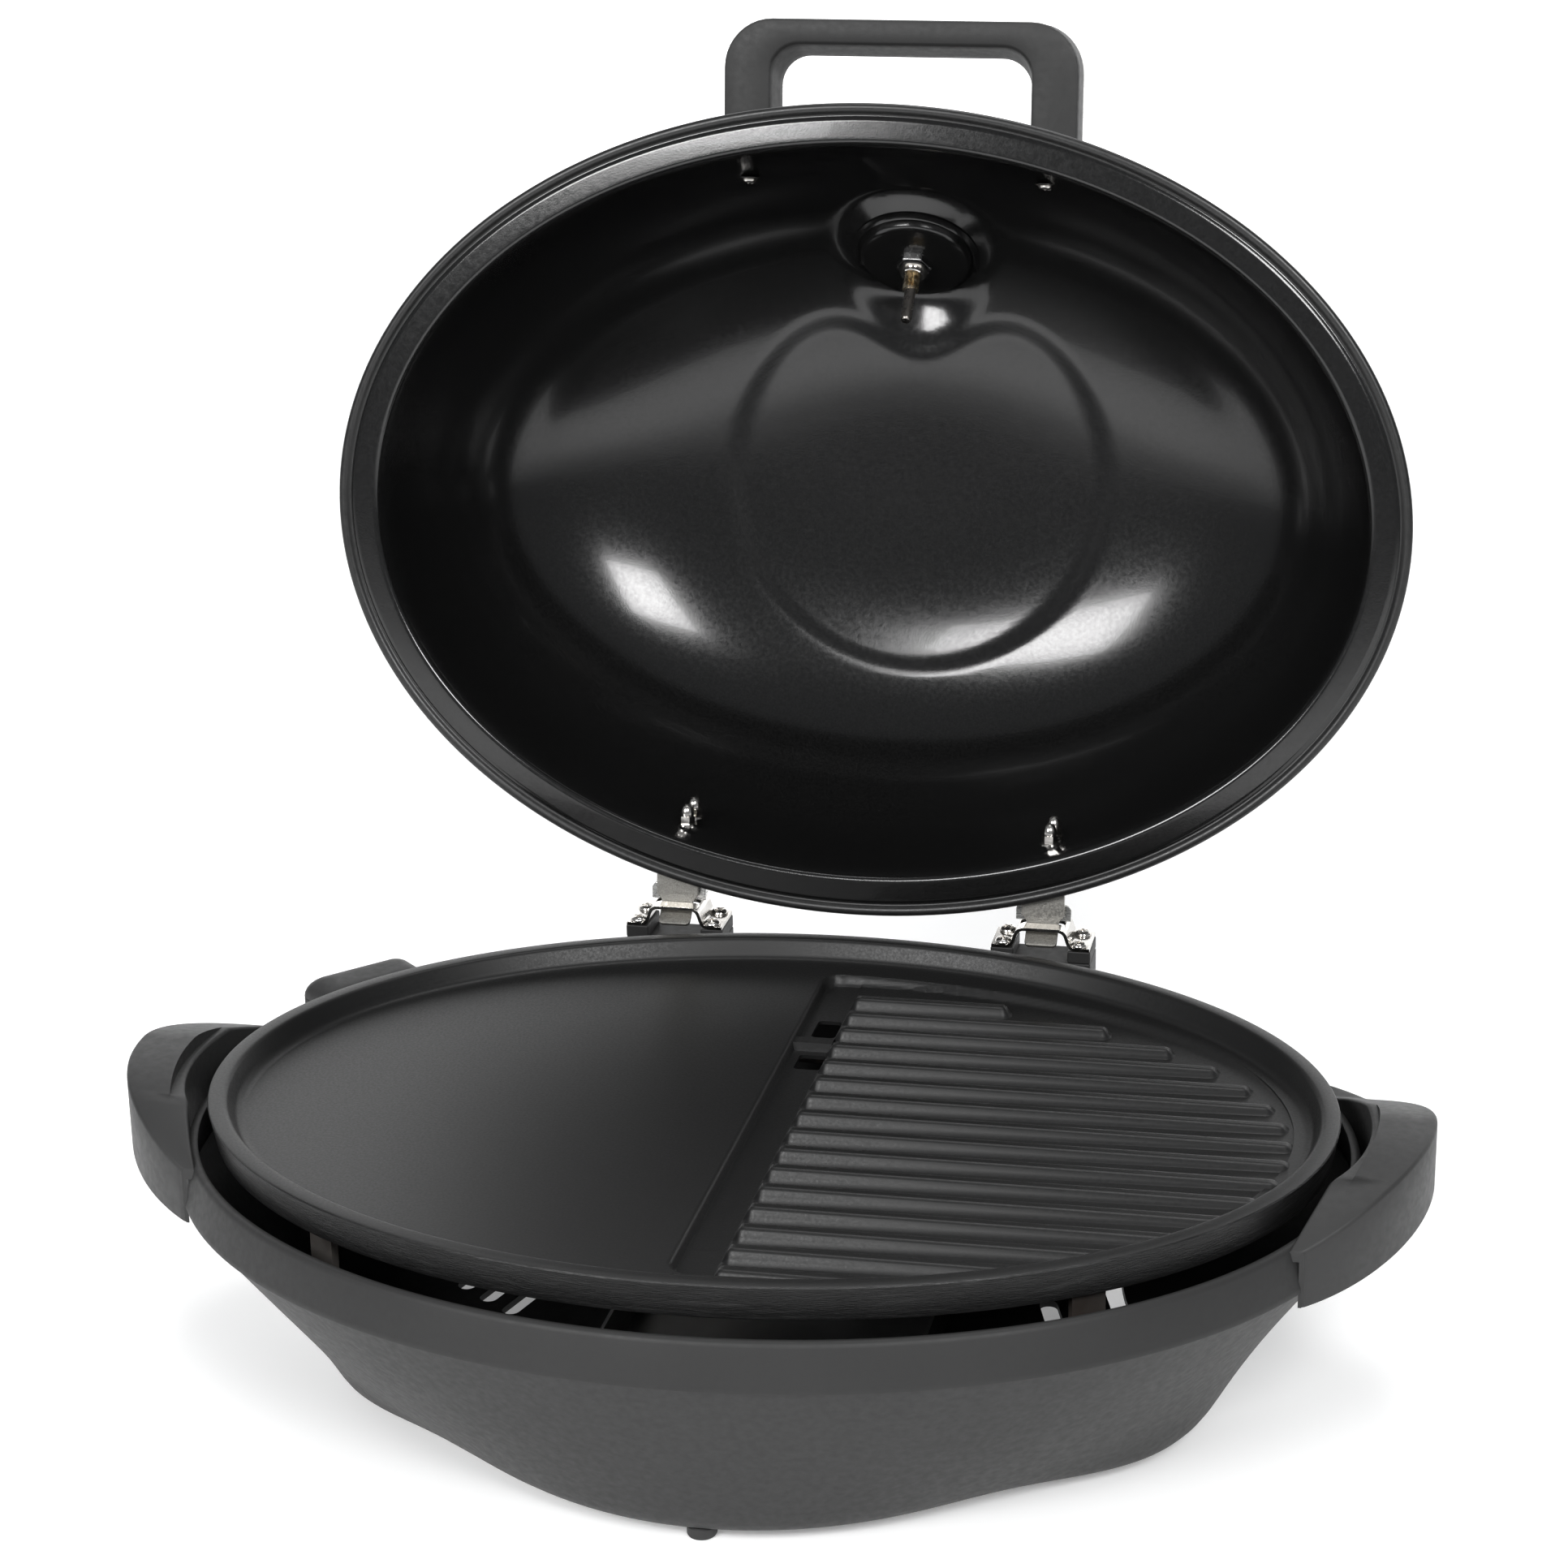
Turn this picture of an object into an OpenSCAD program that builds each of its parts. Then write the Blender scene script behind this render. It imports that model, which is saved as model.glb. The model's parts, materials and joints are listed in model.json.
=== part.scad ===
// Covered electric table griddle: oval cooking plate in a plastic base, domed lid on two hook hinges.
// Millimetres. +Z is up, the table is z = 0, and the lid is drawn open.

/* [Cooking plate] */
// Length of the plate, left to right
plate_w = 470; // [466:1:472]
// Depth of the plate, front to back
plate_d = 348; // [344:1:350]
// Height of the plate's rim above the table
rim_z = 130; // [129:0.5:131]
// Number of raised grill ribs
rib_count = 16; // [8:1:16]
// Distance from one rib to the next
rib_pitch = 17.6; // [17:0.1:17.8]

/* [Base] */
// Length of the base band at its lower edge
band_w = 494.4; // [492:1:498]
// Depth of the base band at its lower edge
band_d = 379.8; // [378:0.5:381]
// Height of the feet
foot_h = 5; // [4:0.5:5]
// Half of the length over both side handles
grip_x = 273; // [272:0.5:275]

/* [Lid] */
// Length of the lid's rolled rim
lid_w = 498.6; // [497:0.2:500]
// Depth of the lid's rolled rim
lid_d = 372.4; // [371:0.2:373]
// Height of the dome above its rim
dome_h = 158; // [154:1:160]
// How far the lid opens
open_angle = 97; // [90:1:97]

/* [Hidden] */

// The origin is under the middle of the open griddle, so the plate sits forward of it.
frame_y = -95;

oval = plate_d / plate_w;
band_top_w = band_w - 9.6;
band_oval = band_d / band_w;
band_top_z = rim_z - 16.2;
band_low_z = rim_z - 35;
wall = 3;

rib_x = 12.2;
rib_back_y = 119;
rib_h = 4;
floor_z = rim_z - 10;
plate_low_z = rim_z - 15;

// Hinge axis: the rounded front edge of the slot in each bracket
hinge_y = 187;
hinge_z = rim_z + 5;
hinge_x = 87.2;
sheet = 2;
fit_gap = 0.3;

lid_oval = lid_d / lid_w;
dome_w = 462;
dome_d = 336;
dome_oval = dome_d / dome_w;
skin = 1.5;
lid_z = rim_z + 0.6;
dome_n = 3;

// Thermometer: centre on the dome and lean of its axis from upright
dial_y = -119;
dial_z = lid_z + 135;
dial_lean = 50;
dial_r = 27;
well_r = 30;

// Controller: direction of its plug axis and the point where it meets the band
ctl_t = 145;
ctl_x = band_w / 2 * cos(ctl_t);
ctl_y = band_d / 2 * sin(ctl_t);
ctl_dir = atan2(sin(ctl_t) * band_w, cos(ctl_t) * band_d);
ctl_z = 100;

plastic = [0.21, 0.21, 0.22];
coating = [0.12, 0.12, 0.12];
steel = [0.75, 0.75, 0.74];
dark = [0.1, 0.1, 0.1];

// Turned ring or shell with an oval plan
module oval_turn(ratio) { scale([1, ratio, 1]) rotate_extrude($fn = 96) children(); }
module oval_block(w, d, h) { scale([1, d / w, 1]) cylinder(d = w, h = h, $fn = 96); }
module both_sides() { children(); mirror([1, 0, 0]) children(); }
module placed() { translate([0, frame_y, 0]) children(); }
// Closed lid turned about the hinge axis to its open position
module opened() {
    translate([0, frame_y + hinge_y, hinge_z]) rotate([-open_angle, 0, 0])
        translate([0, -hinge_y, -hinge_z]) children();
}
module controller_frame() { translate([ctl_x, ctl_y, ctl_z]) rotate([0, 0, ctl_dir]) children(); }
module dial_frame() { translate([0, dial_y, dial_z]) rotate([dial_lean, 0, 0]) children(); }

// ---- base ----

// Plan of the tub floor: a round nose front and back, wide shoulders left and right
function fold(a) = abs(((a + 90) % 180) - 90);
function tub_r(a, t) = 139 + 49 / (1 + exp((fold(a) - 27) / (4 + 14 * t)));
function rim_r(a, w, d) = 1 / sqrt(pow(cos(a) / w, 2) + pow(sin(a) / d, 2));
// Height and inset of each ring of the tub wall; t runs from the floor (0) to the band (1)
function tub_ring(t, inset, n) = [for (i = [0 : n - 1])
    let (a = 360 * i / n,
        low = tub_r(a, t),
        high = rim_r(a, band_w / 2 - 2, band_d / 2 - 2),
        r = low + (high - low) * t - inset)
    [r * cos(a), r * sin(a), foot_h + (band_low_z - foot_h) * t]];
tub_levels = [[0, 4], [0.02, 1.6], [0.06, 0.4], [0.12, 0], [0.4, 0], [0.7, 0], [1, 0]];
module loft(rings) {
    n = len(rings[0]);
    m = len(rings);
    points = [for (ring = rings) for (p = ring) p];
    sides = [for (j = [0 : m - 2]) for (i = [0 : n - 1])
        [j * n + i, (j + 1) * n + i, (j + 1) * n + (i + 1) % n, j * n + (i + 1) % n]];
    ends = [[for (i = [0 : n - 1]) i], [for (i = [n - 1 : -1 : 0]) (m - 1) * n + i]];
    polyhedron(points, concat(sides, ends), convexity = 6);
}
module vent_slots() {
    for (i = [0 : 2], side = [-1, 1])
        translate([side * (109 + 13 * i), 59 + 9.5 * i, 0]) rotate([0, 0, side * 16.7]) {
            translate([-4, -44, 0]) cube([8, 44, 20]);
            for (y = [-44, 0]) translate([0, y, 0]) cylinder(r = 4, h = 20, $fn = 32);
        }
}
module base_tub() {
    n = 72;
    color(plastic) difference() {
        loft([for (lv = tub_levels) tub_ring(lv[0], lv[1], n)]);
        translate([0, 0, wall])
            loft([for (lv = concat(tub_levels, [[1.1, 0]])) tub_ring(lv[0], lv[1] + wall, n)]);
        vent_slots();
    }
}

// Half section that keeps a neighbour clear of the band, up to a given height
module band_clear(top_z) {
    top = band_top_w / 2 + 0.4;
    low = band_w / 2 + 0.4;
    oval_turn(band_oval) polygon([[0, 60], [low, 60], [low, band_low_z], [top + 1, band_top_z - 0.8],
        [top, band_top_z + 0.4], [top, top_z], [0, top_z]]);
}
module base_rim() {
    top = band_top_w / 2;
    low = band_w / 2;
    color(plastic) difference() {
        oval_turn(band_oval) polygon([[low, band_low_z], [top + 1, band_top_z - 1], [top, band_top_z],
            [top - 3, band_top_z], [low - 5, band_low_z + 4], [low - 5, band_low_z]]);
        controller_frame() translate([-20, -20, 3]) cube([40, 40, 20]);
    }
}

// Side handle: an arched wing, hollow underneath for the fingers
grip_r = 89.5;
pocket_r = 97;
pocket_x = 247;
module grip_plan(grow) {
    intersection() {
        translate([grip_x - grip_r, 0]) circle(r = grip_r - grow, $fn = 96);
        translate([grip_x - 160, -79 + grow]) square([160, 158 - 2 * grow]);
    }
}
// Arch that falls by the given power to the front and sooner to the rear
grip_rear = 66;
module arch_profile(crest, end, foot, power) {
    polygon(concat([for (i = [-12 : 12])
        let (y = i * 79 / 12, fall = i < 0 ? pow(-y / 79, power) : pow(min(y / grip_rear, 1), 1.4))
        [y, crest - (crest - end) * fall]], [[79, foot], [-79, foot]]));
}
module grip_arch(crest, end, foot, power) {
    translate([grip_x - 170, 0, 0]) rotate([90, 0, 90]) linear_extrude(height = 180)
        arch_profile(crest, end, foot, power);
}
module side_handle() {
    color(plastic) difference() {
        intersection() {
            linear_extrude(height = 150) difference() {
                grip_plan(0);
                translate([pocket_x - pocket_r, 0]) circle(r = pocket_r, $fn = 96);
            }
            grip_arch(rim_z + 5, band_top_z - 1, 60, 3);
        }
        grip_arch(rim_z - 24, band_low_z - 6, 50, 1.6);
        intersection() {
            linear_extrude(height = 150) difference() {
                grip_plan(4);
                translate([pocket_x - pocket_r, 0]) circle(r = pocket_r + 4, $fn = 96);
            }
            grip_arch(rim_z + 1, band_top_z - 8, 40, 3);
        }
        band_clear(band_top_z + 0.4);
        translate([0, 0, rim_z - 0.2]) oval_block(lid_w + 1.6, lid_d + 1.6, 20);
    }
}
module side_handle_right() { side_handle(); }
module side_handle_left() { mirror([1, 0, 0]) side_handle(); }

module rubber_feet() {
    color(dark) {
        for (y = [-131, 131]) translate([0, y, 0]) cylinder(r = 6, h = foot_h, $fn = 32);
        for (x = [-160, 160]) translate([x, 0, 0]) cylinder(r = 6, h = foot_h, $fn = 32);
    }
}

// ---- hinges ----

bracket_w = 46;
bracket_y = hinge_y - 6;
bracket_d = 22;
bracket_top_w = 23;
screw_dx = 17.75;
block_top = rim_z - 4.5;
module screw_places() {
    for (sx = [-1, 1], y = [3.5, 18.5])
        translate([hinge_x + sx * screw_dx, bracket_y + y, 0]) children();
}
module hinge_block() {
    color(plastic) difference() {
        translate([hinge_x - 23.5, 165, band_low_z]) cube([47, 38, block_top - band_low_z]);
        translate([0, 150, band_top_z + 1]) cube([130, bracket_y - 0.5 - 150, 40]);
        translate([hinge_x - 12.5, bracket_y - 1, block_top - 6]) cube([25, 30, 10]);
        band_clear(140);
        screw_places() translate([0, 0, block_top - 10]) cylinder(r = 1.8, h = 12, $fn = 32);
    }
}
module hinge_block_right() { hinge_block(); }
module hinge_block_left() { mirror([1, 0, 0]) hinge_block(); }

// Sheet bracket bent like the letter omega, with a slot whose front edge is the hinge axis
module hinge_bracket() {
    half = bracket_w / 2;
    top = bracket_top_w / 2;
    roof = hinge_z + sheet / 2;
    low = block_top;
    t = 1.5;
    color(steel) difference() {
        union() {
            translate([hinge_x, bracket_y + bracket_d, 0]) rotate([90, 0, 0])
                linear_extrude(height = bracket_d)
                polygon([[-half, low], [-top - 1, low], [-top + t, roof - sheet], [top - t, roof - sheet],
                    [top + 1, low], [half, low], [half, low + t], [top + 1 + t, low + t], [top, roof],
                    [-top, roof], [-top - 1 - t, low + t], [-half, low + t]]);
        }
        translate([hinge_x - 10.5, hinge_y, hinge_z - 2]) cube([21, 6.2, 4]);
        screw_places() translate([0, 0, low - 1]) cylinder(r = 1.9, h = 4, $fn = 32);
    }
    color(steel) translate([hinge_x - 10.5, hinge_y, hinge_z]) rotate([0, 90, 0])
        cylinder(r = sheet / 2, h = 21, $fn = 32);
}
module hinge_bracket_right() { hinge_bracket(); }
module hinge_bracket_left() { mirror([1, 0, 0]) hinge_bracket(); }

module bracket_screws() {
    color(steel) both_sides() screw_places() translate([0, 0, block_top]) {
        translate([0, 0, 1.55]) cylinder(r1 = 4, r2 = 2.6, h = 2, $fn = 32);
        translate([0, 0, -8]) cylinder(r = 1.7, h = 9.6, $fn = 32);
    }
}

module stop_tab() {
    roof = hinge_z + sheet / 2;
    lean = open_angle - 90;
    color(steel) {
        translate([hinge_x - 12, hinge_y + 6.6, roof + 0.1]) cube([24, 8, 1.5]);
        translate([hinge_x - 13, hinge_y + 4.3, roof + 0.4]) rotate([-lean, 0, 0]) cube([26, 2, 8]);
    }
}
module stop_tab_right() { stop_tab(); }
module stop_tab_left() { mirror([1, 0, 0]) stop_tab(); }

// ---- plate and heating ----

// Four angle pieces from the band's inner face to the underside of the plate
module plate_supports() {
    color(steel) for (a = [48, 132, 228, 312])
        translate([band_w / 2 * cos(a) * 0.9, band_d / 2 * sin(a) * 0.9, 0])
            rotate([0, 0, atan2(sin(a) * band_w, cos(a) * band_d)]) {
                translate([-3, -7, band_low_z + 3]) cube([3, 14, plate_low_z - band_low_z - 3]);
                translate([-3, -7, band_low_z + 3]) cube([18.5, 14, 3]);
            }
}

tray_z = foot_h + wall + 0.5;
module drip_tray() {
    color(steel) difference() {
        translate([-68, -104, tray_z]) cube([136, 214, 20]);
        translate([-66.5, -102.5, tray_z + 1.5]) cube([133, 211, 20]);
    }
}

element_z = plate_low_z - 4;
module heating_element() {
    r = 78;
    x = 85;
    color([0.45, 0.45, 0.45]) {
        for (side = [0, 180]) rotate([0, 0, side]) translate([x, 0, element_z]) rotate([0, 0, -90])
            rotate_extrude(angle = 180, $fn = 64) translate([r, 0]) circle(r = 3.5, $fn = 24);
        for (y = [-r, r]) translate([-x, y, element_z]) rotate([0, 90, 0])
            cylinder(r = 3.5, h = 2 * x, $fn = 24);
    }
}
module terminal_pins() {
    color(steel) controller_frame() for (y = [-9, 9])
        translate([-72, y, 6]) rotate([0, 90, 0]) cylinder(r = 2, h = 66, $fn = 32);
}
module probe_socket() {
    color(steel) controller_frame() difference() {
        translate([-70, -5.5, 0.5]) cube([42, 11, 11]);
        translate([-66, 0, 6]) rotate([0, 90, 0]) cylinder(r = 3.4, h = 40, $fn = 32);
    }
}

function rib_y(i) = rib_back_y - rib_pitch * i;
function rib_end(i) = 218 * sqrt(1 - pow((rib_y(i) + 13) / 143, 2));
module rib(i) {
    length = rib_end(i) - rib_x;
    translate([rib_x, rib_y(i), floor_z - 0.5]) rotate([90, 0, 90]) linear_extrude(height = length)
        polygon([[-4.4, 0], [4.4, 0], [3.2, 2.6], [2, rib_h], [-2, rib_h], [-3.2, 2.6]]);
}
module griddle_plate() {
    rim = plate_w / 2;
    color(coating) {
        difference() {
            oval_turn(oval) polygon([[0, plate_low_z], [rim - 3, plate_low_z], [rim, rim_z - 0.5],
                [rim - 0.5, rim_z], [rim - 8, rim_z], [rim - 13, floor_z + 1], [0, floor_z + 1]]);
            for (p = [[205, 60], [175, 95], [130, 125], [80, 145]])
                translate([-6.4, -p[1], floor_z - 0.5]) cube([p[0] + 6.4, 2 * p[1], 3]);
            translate([-1, 85, 0]) cube([10, 18, 200]);
            translate([-2, 50, 0]) cube([12, 15, 200]);
        }
        for (i = [0 : rib_count - 1]) rib(i);
        translate([-6.4, 69, floor_z - 0.6]) cube([16, 11, 1.4]);
    }
}

// ---- controller ----

ctl_w = 54;
ctl_len = 34;
module controller_housing() {
    color(plastic) controller_frame() difference() {
        union() {
            translate([3, -ctl_w / 2, -18]) cube([ctl_len, ctl_w, 26]);
            translate([-14, -15, 3.5]) cube([18, 30, 7.5]);
        }
        translate([5, -ctl_w / 2 + 2, -16]) cube([ctl_len - 4, ctl_w - 4, 30]);
        for (y = [-9, 9]) translate([-20, y, 6]) rotate([0, 90, 0]) cylinder(r = 2.4, h = 16, $fn = 32);
        translate([-20, 0, 6]) rotate([0, 90, 0]) cylinder(r = 3, h = 30, $fn = 32);
        translate([30, 0, -6]) rotate([0, 90, 0]) cylinder(r = 3.2, h = 20, $fn = 32);
        translate([16, 20, -20]) cylinder(r = 4.4, h = 8, $fn = 32);
    }
}
module controller_cover() {
    color(plastic) controller_frame() difference() {
        translate([3, 0, 8.1]) rotate([90, 0, 90]) linear_extrude(height = ctl_len)
            polygon(concat([for (i = [0 : 16]) let (a = 180 * i / 16)
                [ctl_w / 2 * cos(a), 10 * pow(sin(a), 0.6)]]));
        translate([5, 0, 8.1]) rotate([90, 0, 90]) linear_extrude(height = ctl_len - 4)
            polygon(concat([for (i = [0 : 16]) let (a = 180 * i / 16)
                [(ctl_w / 2 - 2) * cos(a), 8 * pow(sin(a), 0.6) - 0.5]]));
        translate([0, -15.3, 0]) cube([7, 30.6, 11.3]);
    }
}
module controller_probe() {
    color(steel) controller_frame() translate([-50, 0, 6]) rotate([0, 90, 0])
        cylinder(r = 3, h = 56, $fn = 32);
}
module cord_gland() {
    color(dark) controller_frame() translate([16, 20, -21]) cylinder(r = 4.3, h = 9, $fn = 32);
}
module indicator_lens() {
    color([0.8, 0.1, 0.05]) controller_frame() translate([ctl_len + 3, 20, 0]) rotate([0, 90, 0])
        cylinder(r = 2.5, h = 1, $fn = 32);
}
module control_knob() {
    color(dark) controller_frame() {
        translate([ctl_len + 3.4, 0, -6]) rotate([0, 90, 0]) cylinder(r = 11.5, h = 9, $fn = 64);
        translate([ctl_len + 12, -1.2, -6]) cube([1, 2.4, 11]);
        translate([29, 0, -6]) rotate([0, 90, 0]) cylinder(r = 3.1, h = 10, $fn = 32);
    }
}

// ---- lid, drawn closed and then opened ----

// Half outline of the dome: superellipse of exponent dome_n
function dome_points(a, h, n) = [for (i = [0 : n]) let (t = 90 * i / n)
    [a * pow(cos(t), 2 / dome_n), lid_z + h * pow(sin(t), 2 / dome_n)]];
module dome_solid(grow) {
    oval_turn(dome_oval) polygon(concat([[0, lid_z], [dome_w / 2 + grow, lid_z]],
        dome_points(dome_w / 2 + grow, dome_h + grow, 14)));
}
module lid_shell() {
    n = 15;
    inner = dome_points(dome_w / 2 - skin, dome_h - skin, n);
    color(coating) opened() difference() {
        oval_turn(dome_oval) polygon(concat(dome_points(dome_w / 2, dome_h, n),
            [for (i = [n : -1 : 0]) inner[i]]));
        dial_frame() translate([0, 0, -24]) cylinder(r = well_r, h = 40, $fn = 64);
        for (x = [-71, 71]) translate([x, -170, handle_z]) rotate([-90, 0, 0])
            cylinder(r = 2.7, h = 50, $fn = 32);
        both_sides() for (h = bolt_heights) translate([hinge_x, 140, lid_z + h]) rotate([-90, 0, 0])
            cylinder(r = 2.2, h = 30, $fn = 32);
    }
}
module lid_rim() {
    color(coating) opened() translate([0, 0, lid_z]) difference() {
        oval_block(lid_w, lid_d, 3.5);
        translate([0, 0, -5]) oval_block(dome_w + 0.4, dome_d + 0.4, 20);
        translate([0, 0, 2]) oval_block(lid_w - 12, lid_d - 12, 20);
    }
}
// Pressed well in the dome that the thermometer sits in
module thermometer_well() {
    r = well_r - 0.1;
    color(coating) opened() dial_frame() difference() {
        union() {
            translate([0, 0, -8.5]) cylinder(r = r, h = 17, $fn = 64);
            // skirt that follows the dome, which leans less than the dial
            difference() {
                translate([0, 0, -15]) cylinder(r = r, h = 15, $fn = 64);
                translate([0, 0, -5.6]) rotate([-16, 0, 0]) translate([-50, -50, -40])
                    cube([100, 100, 40]);
            }
        }
        translate([0, 0, -7]) cylinder(r = r - skin, h = 17, $fn = 64);
        translate([0, 0, -18.5]) cylinder(r = r - skin, h = 10, $fn = 64);
        translate([0, 0, -30]) cylinder(r = 4.2, h = 40, $fn = 32);
    }
}

// Handle: a flat loop of plastic with a metal cover along its upper side
handle_low = lid_z + 80;
handle_h = 20;
handle_z = lid_z + 76;
handle_front = -225;
module loop_plan(half, front, corner, back) {
    hull() {
        for (x = [-half + corner, half - corner]) translate([x, front + corner])
            circle(r = corner, $fn = 48);
        translate([-half, back - 1]) square([2 * half, 1]);
    }
}
module handle_plan() {
    difference() {
        loop_plan(84.5, handle_front, 23, -130);
        loop_plan(62.5, handle_front + 14, 14, -120);
    }
}
module lid_handle() {
    color(plastic) opened() difference() {
        union() {
            translate([0, 0, handle_low]) linear_extrude(height = handle_h) handle_plan();
            both_sides() translate([62.5, -172, handle_z - 7]) cube([22, 40, 15]);
        }
        dome_solid(0.3);
        for (x = [-71, 71]) translate([x, -166, handle_z]) rotate([-90, 0, 0])
            cylinder(r = 2.2, h = 80, $fn = 32);
    }
}
module handle_cover() {
    color(steel) opened() difference() {
        translate([0, 0, handle_low + handle_h]) linear_extrude(height = 2) handle_plan();
        dome_solid(0.3);
    }
}
// Where the dome's inner face lies in Y at a given X and height above the rim
function dome_y(x, h) = let (k = pow(1 - pow(h / (dome_h - skin), dome_n), 1 / dome_n))
    dome_oval * (dome_w / 2 - skin) * k * sqrt(1 - pow(x / ((dome_w / 2 - skin) * k), 2));
module handle_screws() {
    y = -dome_y(71, handle_z - lid_z);
    color(steel) opened() both_sides() translate([71, y, handle_z]) rotate([-90, 0, 0]) {
        translate([0, 0, 2.4]) cylinder(r1 = 4, r2 = 2.8, h = 2.2, $fn = 32);
        translate([0, 0, -10]) cylinder(r = 2, h = 13, $fn = 32);
    }
}

// Strap: flat run, bend round the slot's edge, tongue below the bracket, leg up the dome
strap_w = 20;
strap_in = sheet / 2 + fit_gap;
bolt_heights = [24, 38];
leg_y = 160.8;
module strap_side() {
    out = strap_in + sheet;
    arc = [for (i = [0 : 6]) 90 - 45 * i / 6];
    translate([hinge_y, hinge_z]) {
        polygon(concat([for (a = arc) strap_in * [cos(a), sin(a)]],
            [strap_in * [cos(45), sin(45)] + 10 * [cos(45), -sin(45)],
             out * [cos(45), sin(45)] + 10 * [cos(45), -sin(45)]],
            [for (i = [6 : -1 : 0]) out * [cos(arc[i]), sin(arc[i])]]));
        translate([leg_y - hinge_y, strap_in]) square([hinge_y - leg_y + 0.01, sheet]);
    }
    translate([leg_y, hinge_z + strap_in]) rotate(3) square([sheet, 38]);
}
module hinge_strap() {
    color(steel) opened() difference() {
        translate([hinge_x - strap_w / 2, 0, 0]) rotate([90, 0, 90])
            linear_extrude(height = strap_w) strap_side();
        for (h = bolt_heights) translate([hinge_x, 150, lid_z + h]) rotate([-90, 0, 0])
            cylinder(r = 2.2, h = 30, $fn = 32);
    }
}
module hinge_strap_right() { hinge_strap(); }
module hinge_strap_left() { mirror([1, 0, 0]) hinge_strap(); }
function leg_face(h) = leg_y + sheet - sin(3) * (h - 10) + 0.3;
module strap_bolts() {
    color(steel) opened() both_sides() for (h = bolt_heights)
        translate([hinge_x, leg_face(h), lid_z + h]) rotate([90, 0, 0]) {
            translate([0, 0, -2.4]) cylinder(r = 3.8, h = 2.4, $fn = 32);
            translate([0, 0, -0.1]) cylinder(r = 2, h = 16, $fn = 32);
        }
}
module cap_nuts() {
    color(steel) opened() both_sides() for (h = bolt_heights)
        translate([hinge_x, dome_y(hinge_x, h) - 3.3, lid_z + h]) rotate([90, 0, 0]) difference() {
            union() {
                translate([0, 0, -1.4]) cylinder(r = 3.9, h = 4.2, $fn = 6);
                translate([0, 0, 1]) cylinder(r = 3.2, h = 4, $fn = 32);
                translate([0, 0, 5]) sphere(r = 3.2, $fn = 32);
            }
            translate([0, 0, -3]) cylinder(r = 2.1, h = 9, $fn = 32);
        }
}

module thermometer_cup() {
    color(steel) opened() dial_frame() difference() {
        translate([0, 0, -6.8]) cylinder(r = dial_r, h = 10.8, $fn = 64);
        translate([0, 0, -5.3]) cylinder(r = dial_r - 2, h = 20, $fn = 64);
        translate([0, 0, -10]) cylinder(r = 4.2, h = 10, $fn = 32);
    }
}
module thermometer_dial() {
    color([0.9, 0.9, 0.88]) opened() dial_frame() difference() {
        translate([0, 0, -2]) cylinder(r = dial_r - 2.2, h = 1, $fn = 64);
        translate([0, 0, -5]) cylinder(r = 1.6, h = 10, $fn = 32);
    }
}
module thermometer_glass() {
    color([0.8, 0.9, 0.95, 0.4]) opened() dial_frame() translate([0, 0, 1.6])
        cylinder(r = dial_r - 2.1, h = 1.5, $fn = 64);
}
module thermometer_needle() {
    color([0.8, 0.1, 0.05]) opened() dial_frame() {
        translate([-17, -0.8, -0.4]) cube([34, 1.6, 0.7]);
        translate([0, 0, -4]) cylinder(r = 1.4, h = 4.6, $fn = 32);
    }
}
module thermometer_stem() {
    color([0.8, 0.68, 0.4]) opened() dial_frame() difference() {
        translate([0, 0, -26]) cylinder(r = 4, h = 21.2, $fn = 32);
        translate([0, 0, -30]) cylinder(r = 2.8, h = 22, $fn = 32);
    }
}
module thermometer_nut() {
    color(dark) opened() dial_frame() difference() {
        translate([0, 0, -16]) cylinder(r = 9, h = 7.2, $fn = 6);
        translate([0, 0, -20]) cylinder(r = 4.1, h = 14, $fn = 32);
    }
}
module thermometer_probe() {
    color(steel) opened() dial_frame() translate([0, 0, -46]) cylinder(r = 2.7, h = 37, $fn = 32);
}

placed() base_tub();
placed() base_rim();
placed() side_handle_left();
placed() side_handle_right();
placed() rubber_feet();
placed() hinge_block_left();
placed() hinge_block_right();
placed() hinge_bracket_left();
placed() hinge_bracket_right();
placed() bracket_screws();
placed() stop_tab_left();
placed() stop_tab_right();
placed() plate_supports();
placed() drip_tray();
placed() heating_element();
placed() terminal_pins();
placed() probe_socket();
placed() griddle_plate();
placed() controller_housing();
placed() controller_cover();
placed() controller_probe();
placed() cord_gland();
placed() indicator_lens();
placed() control_knob();
lid_shell();
lid_rim();
thermometer_well();
lid_handle();
handle_cover();
handle_screws();
hinge_strap_left();
hinge_strap_right();
strap_bolts();
cap_nuts();
thermometer_cup();
thermometer_dial();
thermometer_glass();
thermometer_needle();
thermometer_stem();
thermometer_nut();
thermometer_probe();
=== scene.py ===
"""Looks for the covered electric griddle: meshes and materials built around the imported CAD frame."""
import json
import math

import bmesh
import bpy
from mathutils import Matrix, Vector


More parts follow.
